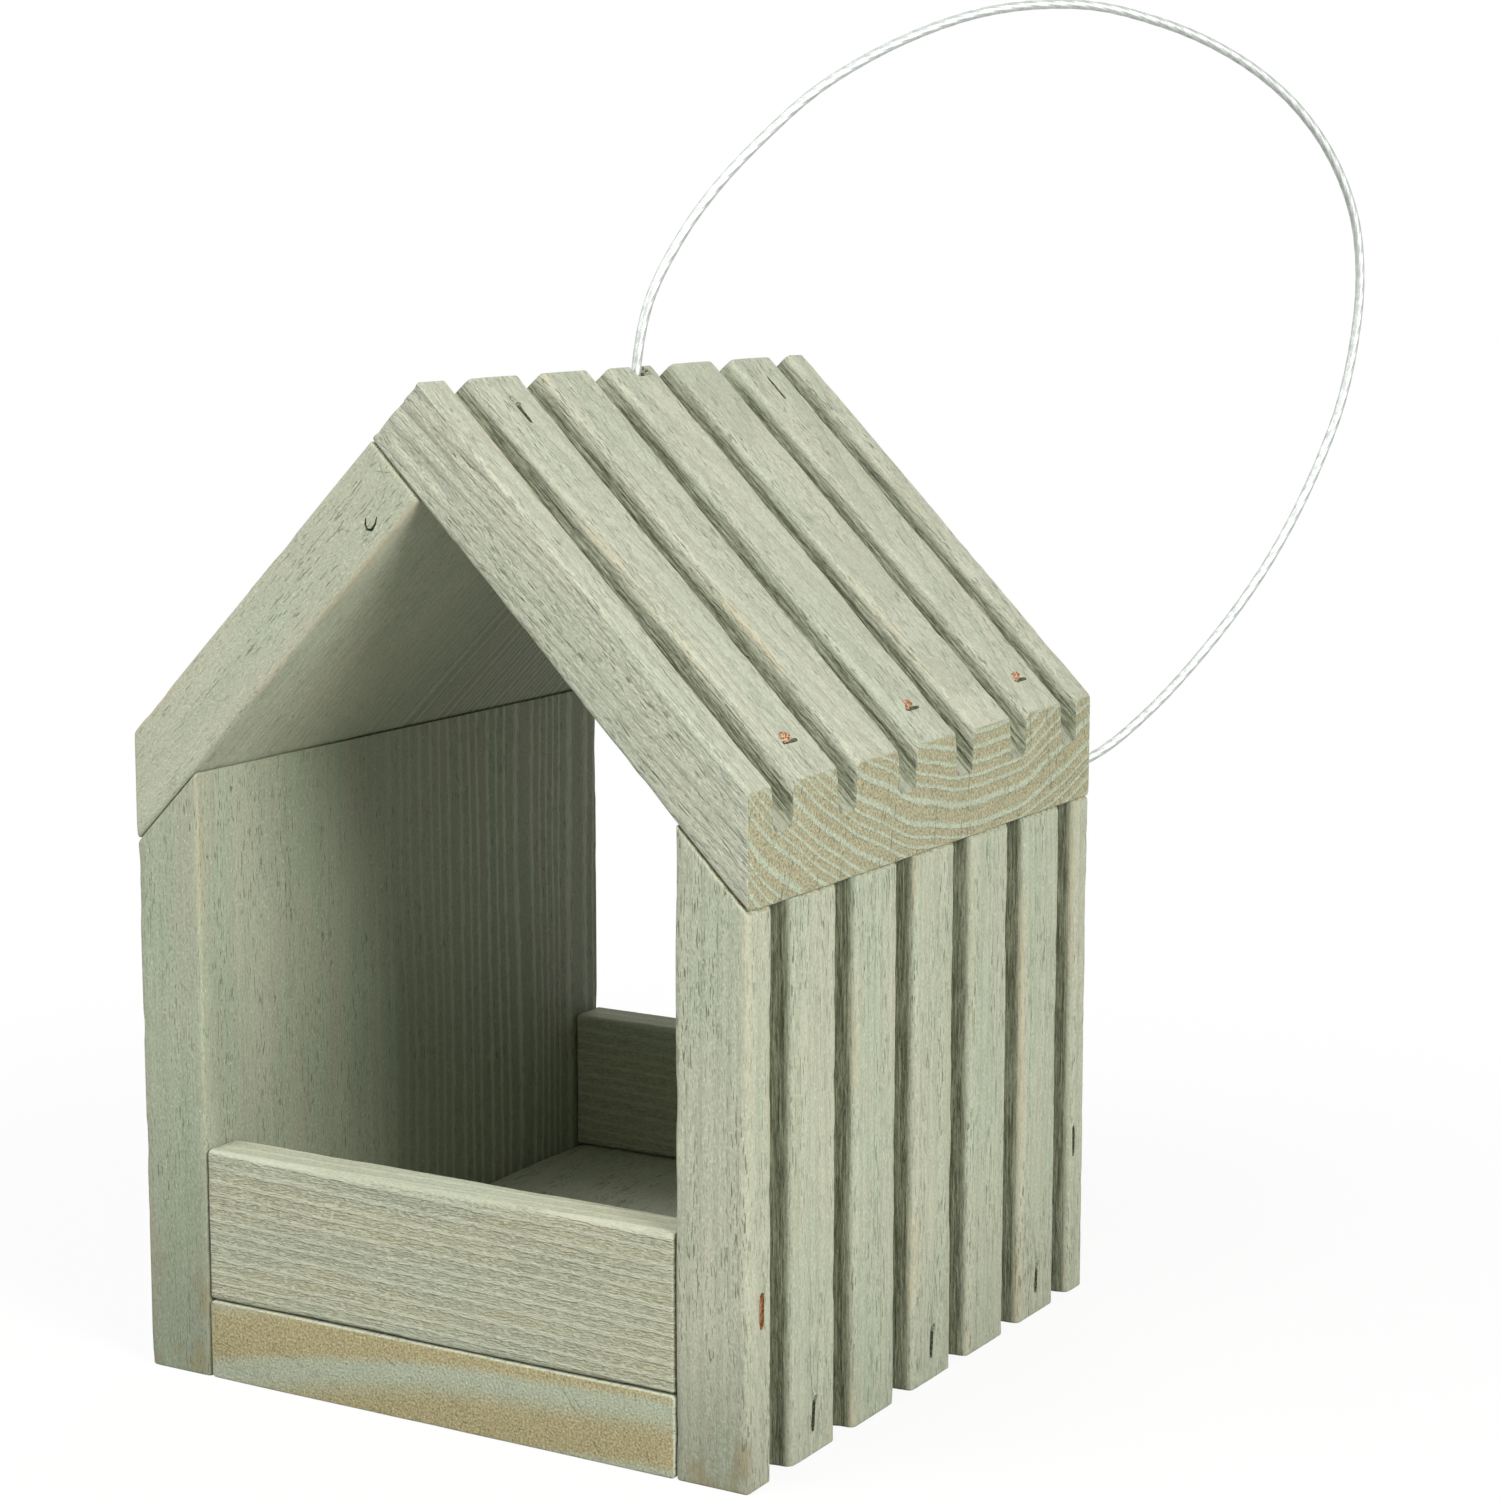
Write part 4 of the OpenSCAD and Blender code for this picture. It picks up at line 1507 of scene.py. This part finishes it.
@dataclass
class HangingLoop:
    """The springy ring of stranded steel cable and the crimped ferrule that joins its ends, in mm."""

    house: House
    cable_d: float = 2.0
    turn_deg: float = 54.0
    # The strand's outer wires, the sides that each is drawn with, and the length in which they turn once
    wires: int = 6
    wire_sides: int = 7
    lay_mm: float = 26.0
    line_steps: int = 18
    ferrule_d: float = 5.0
    ferrule_l: float = 10.0
    ferrule_drop: float = 5.0
    # Distance out from the hole and height from the ridge, as the cable's solid has them
    route: tuple[tuple[float, float], ...] = (
        (0, -13.5), (0.5, 0.5), (3.5, 13.5), (10.5, 26), (19, 36.5), (29, 46), (39.5, 54.5), (51.5, 61.5),
        (64, 67), (77, 71), (90.5, 73), (104.5, 73), (118, 70.5), (131, 66.5), (143.5, 60.5), (154.5, 52.5),
        (163.5, 42), (169.5, 29.5), (171.5, 16), (170.5, 2.5), (167.5, -11), (162.5, -23.5), (156, -36),
        (148.5, -47.5), (140, -58), (130.5, -68), (120.5, -77), (109, -85), (96, -90), (83, -93), (69, -93),
        (55.5, -91), (42.5, -86.5), (30.5, -80), (19, -72), (9.5, -62), (2.5, -50.5))

    def __post_init__(self) -> None:
        """Works out where the loop stands."""
        self.ferrule_top = -self.house.slope_t - self.ferrule_drop
        turn = math.radians(self.turn_deg)
        self.out = np.array([math.cos(turn), math.sin(turn), 0.0])
        self.foot = np.array([0.0, self.house.hole_back, self.house.ridge_h])

    def spot(self, away: float, height: float) -> np.ndarray:
        """A point of the loop's plane in the house's coordinates."""
        return self.foot + self.out * away + np.array([0.0, 0.0, height])

    def centre_line(self, steps: int) -> np.ndarray:
        """The smooth line of the cable, through every point of its route and back to the ferrule.

        Args:
            steps: points from each point of the route to the next.

        Returns:
            The line's points, in the house's coordinates in mm.
        """
        route = [(0.0, self.ferrule_top), *self.route, (0.0, self.ferrule_top - self.ferrule_l)]
        before = (route[1][0], 2 * route[0][1] - route[1][1])
        after = (route[-2][0], 2 * route[-1][1] - route[-2][1])
        flat = np.array([before, *route, after], float)
        line = []
        for i in range(1, len(flat) - 2):
            a, b, c, d = flat[i - 1:i + 3]
            for k in range(steps):
                u = k / steps
                line.append((2 * b + (c - a) * u + (2 * a - 5 * b + 4 * c - d) * u * u
                             + (3 * b - 3 * c + d - a) * u ** 3) / 2)
        line.append(flat[-2])
        return np.array([self.spot(away, height) for away, height in line])

    def build_cable(self) -> bpy.types.Object:
        """The cable as one tube whose section has the outline of its wires and turns with their lay.

        Returns:
            The cable's object.
        """
        line = self.centre_line(self.line_steps)
        along = np.concatenate([[0], np.cumsum(np.linalg.norm(np.diff(line, axis=0), axis=1))])
        heading = np.gradient(line, axis=0)
        heading[0] = heading[-1] = (0, 0, 1)
        heading /= np.linalg.norm(heading, axis=1)[:, None]
        side = np.cross(self.out, (0, 0, 1))
        inward = np.cross(heading, side)
        count = self.wires * self.wire_sides
        angles = 2 * math.pi * np.arange(count) / count
        # Round wires around a core: the outline of each lobe is an arc of its wire
        wire_r = self.cable_d / 6
        orbit = self.cable_d / 2 - wire_r
        step = np.arange(count) % self.wire_sides - (self.wire_sides - 1) / 2
        off = step / self.wire_sides * 2 * math.pi / self.wires
        lobes = orbit * np.cos(off) + np.sqrt(np.maximum(wire_r ** 2 - (orbit * np.sin(off)) ** 2, 0.0))
        # Years of handling and the zinc have filled most of the valleys between the wires
        lobes = (lobes + 3 * self.cable_d / 2) / 4
        points = []
        for i, middle in enumerate(line):
            lay = 2 * math.pi * along[i] / self.lay_mm
            points += [middle + (side * math.cos(a + lay) + inward[i] * math.sin(a + lay)) * r
                       for a, r in zip(angles, lobes)]
        # The valleys between the wires are drawn smooth, and only the ends' edges sharp
        cable = tube(points, count).make("hanging_cable_strand", GALVANISED_STRAND.build(), 60.0)
        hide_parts("hanging_cable")
        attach(cable, LOOP)
        sleeve = self.build_ferrule()
        return cable

    def build_ferrule(self) -> bpy.types.Object:
        """The aluminium sleeve, narrower where the tool has pressed it twice.

        Returns:
            The sleeve's object.
        """
        count, rows = 32, 60
        points = []
        for row in range(rows + 1):
            share = row / rows
            pressed = sum(math.exp(-((share - middle) / 0.11) ** 2) for middle in (0.3, 0.7))
            # Both rims are rounded over the last half millimetre
            rim = min(1.0, min(share, 1 - share) * self.ferrule_l / 0.5)
            ease = 0.88 + 0.12 * math.sqrt(1 - (1 - rim) ** 2)
            for k in range(count):
                angle = 2 * math.pi * k / count
                # Each press leaves two flats, so the sleeve is narrower across them
                flat = 1 - 0.2 * pressed * max(0.0, abs(math.cos(angle)) - 0.55) / 0.45
                radius = self.ferrule_d / 2 * ease * flat
                points.append(self.spot(0.0, self.ferrule_top - self.ferrule_l * share)
                              + np.array([radius * math.cos(angle), radius * math.sin(angle), 0.0]))
        sleeve = tube(points, count, True).make("cable_ferrule_sleeve", CRIMPED_ALUMINIUM.build())
        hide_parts("cable_ferrule")
        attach(sleeve, LOOP)
        LOG.info("%s: %d faces", sleeve.name, len(sleeve.data.polygons))
        return sleeve


def seen_ray(tree: bpy.types.NodeTree) -> bpy.types.Node:
    """Tells rays that show the background, directly, in a gloss or through glass, from those that light.

    Args:
        tree: the nodes of the background.

    Returns:
        1 for a ray that shows it, or else 0.
    """
    path = add_node(tree, "ShaderNodeLightPath")
    seen = add_node(tree, "ShaderNodeMath", {0: path.outputs["Is Camera Ray"],
                                             1: path.outputs["Is Glossy Ray"]}, operation="MAXIMUM")
    return add_node(tree, "ShaderNodeMath", {0: seen, 1: path.outputs["Is Transmission Ray"]},
                    operation="MAXIMUM")


@dataclass
class Studio:
    """A pale floor, soft light from the front right, and the camera at the photograph's angle."""

    camera_mm: tuple[float, float, float] = (366.568, -572.362, 230.132)
    azimuth_deg: float = 30.573
    elevation_deg: float = 9.082
    roll_deg: float = 0.026
    lens_mm: float = 81.0
    sensor_mm: float = 36.0
    world_level: float = 0.2
    lamp_away: float = 1.2
    aim_height: float = 0.09
    floor_half: float = 3.0
    key_watts: float = 12.5
    front_watts: float = 5.2
    high_watts: float = 5.2
    back_watts: float = 2.5

    def build_camera(self) -> None:
        """Places the camera where lines of the picture meet as the photograph's do."""
        data = bpy.data.cameras.new("camera")
        data.lens, data.sensor_width, data.clip_start = self.lens_mm, self.sensor_mm, 0.01
        camera = bpy.data.objects.new("camera", data)
        back = from_house(self.azimuth_deg, self.elevation_deg)
        right = Vector((0, 0, 1)).cross(back).normalized()
        turned = Matrix.Rotation(math.radians(self.roll_deg), 3, back)
        right = turned @ right
        up = back.cross(right)
        camera.matrix_world = Matrix.Translation(Vector(self.camera_mm) * MM) @ Matrix(
            (right, up, back)).transposed().to_4x4()
        bpy.context.scene.collection.objects.link(camera)
        bpy.context.scene.camera = camera

    def lamp(self, name: str, azimuth: float, elevation: float, size: float, power: float,
             colour: str) -> None:
        """Adds a square soft box that faces the house.

        Args:
            name: the lamp's name.
            azimuth: degrees round from the house's front towards its right.
            elevation: degrees up.
            size: side of the box, in metres.
            power: its power, in watts.
            colour: its colour.
        """
        data = bpy.data.lights.new(name, "AREA")
        data.shape, data.size, data.energy, data.color = "SQUARE", size, power, srgb(colour)[:3]
        made = bpy.data.objects.new(name, data)
        way = from_house(azimuth, elevation)
        made.location = Vector((0.0, 0.0, self.aim_height)) + way * self.lamp_away
        made.rotation_euler = way.to_track_quat("Z", "Y").to_euler()
        bpy.context.scene.collection.objects.link(made)

    def build_world(self) -> None:
        """Lights the house evenly and shows white where nothing else is seen."""
        world = bpy.data.worlds.new("studio")
        bpy.context.scene.world = world
        world.use_nodes = True
        tree = world.node_tree
        tree.nodes.clear()
        seen = seen_ray(tree)
        soft = add_node(tree, "ShaderNodeBackground", {0: srgb("#FFFFFF"), 1: self.world_level})
        white = add_node(tree, "ShaderNodeBackground", {0: srgb("#FFFFFF"), 1: 1.0})
        mixed = add_node(tree, "ShaderNodeMixShader", {0: seen, 1: soft, 2: white})
        add_node(tree, "ShaderNodeOutputWorld", {0: mixed})

    def build_floor(self) -> None:
        """A wide sheet of white paper that keeps the house's shadow."""
        half = self.floor_half
        mesh = bpy.data.meshes.new("paper_floor")
        mesh.from_pydata([(-half, -half, 0), (half, -half, 0), (half, half, 0), (-half, half, 0)], [],
                         [(0, 1, 2, 3)])
        floor = bpy.data.objects.new("paper_floor", mesh)
        bpy.context.scene.collection.objects.link(floor)
        paper = bpy.data.materials.new("white_background_paper")
        paper.use_nodes = True
        tree = paper.node_tree
        tree.nodes.clear()
        seen = seen_ray(tree)
        # Seen directly the paper glows most of the way to white, and the rest still shows the shadow. Away
        # from the house it glows all the way, so that no horizon shows.
        spot = add_node(tree, "ShaderNodeTexCoord").outputs["Object"]
        away = add_node(tree, "ShaderNodeVectorMath", {0: spot}, operation="LENGTH").outputs["Value"]
        glow_share = add_node(tree, "ShaderNodeMapRange", {0: away, 1: 0.12, 2: 0.4, 3: 0.9, 4: 1.0},
                              interpolation_type="SMOOTHSTEP")
        share = add_node(tree, "ShaderNodeMath", {0: seen, 1: glow_share}, operation="MULTIPLY")
        # Light that it throws back on the house is that of a grey table
        shade = add_node(tree, "ShaderNodeMix", {0: seen, 6: srgb("#AFAFAB"), 7: srgb("#F4F4F2")},
                         data_type="RGBA").outputs[2]
        matt = add_node(tree, "ShaderNodeBsdfDiffuse", {"Color": shade})
        glow = add_node(tree, "ShaderNodeEmission", {"Color": srgb("#FFFFFF"), "Strength": 1.0})
        mixed = add_node(tree, "ShaderNodeMixShader", {0: share, 1: matt, 2: glow})
        add_node(tree, "ShaderNodeOutputMaterial", {0: mixed})
        mesh.materials.append(paper)

    def build_lights(self) -> None:
        """The lamps: a soft box at the front right, weaker ones at the front left, overhead and behind."""
        bpy.context.scene.view_settings.view_transform = "Standard"
        self.lamp("key_soft_box", 68.0, 21.0, 0.44, self.key_watts, "#FFFEFA")
        self.lamp("front_left_soft_box", -38.0, 34.0, 0.6, self.front_watts, "#FFFFFF")
        self.lamp("high_front_soft_box", -6.0, 60.0, 0.5, self.high_watts, "#FFFFFF")
        self.lamp("back_soft_box", -158.0, 34.0, 0.6, self.back_watts, "#FFFFFF")
        self.build_world()
        self.build_floor()


def main() -> None:
    """Builds the picture: the camera and the cable first, then the house, its staples and the studio."""
    logging.basicConfig(level=logging.INFO, format="%(name)s %(message)s")
    studio = Studio()
    studio.build_camera()
    house = House()
    HangingLoop(house).build_cable()
    house.build()
    Staples(house).build()
    studio.build_lights()


if __name__ == "__main__":
    main()
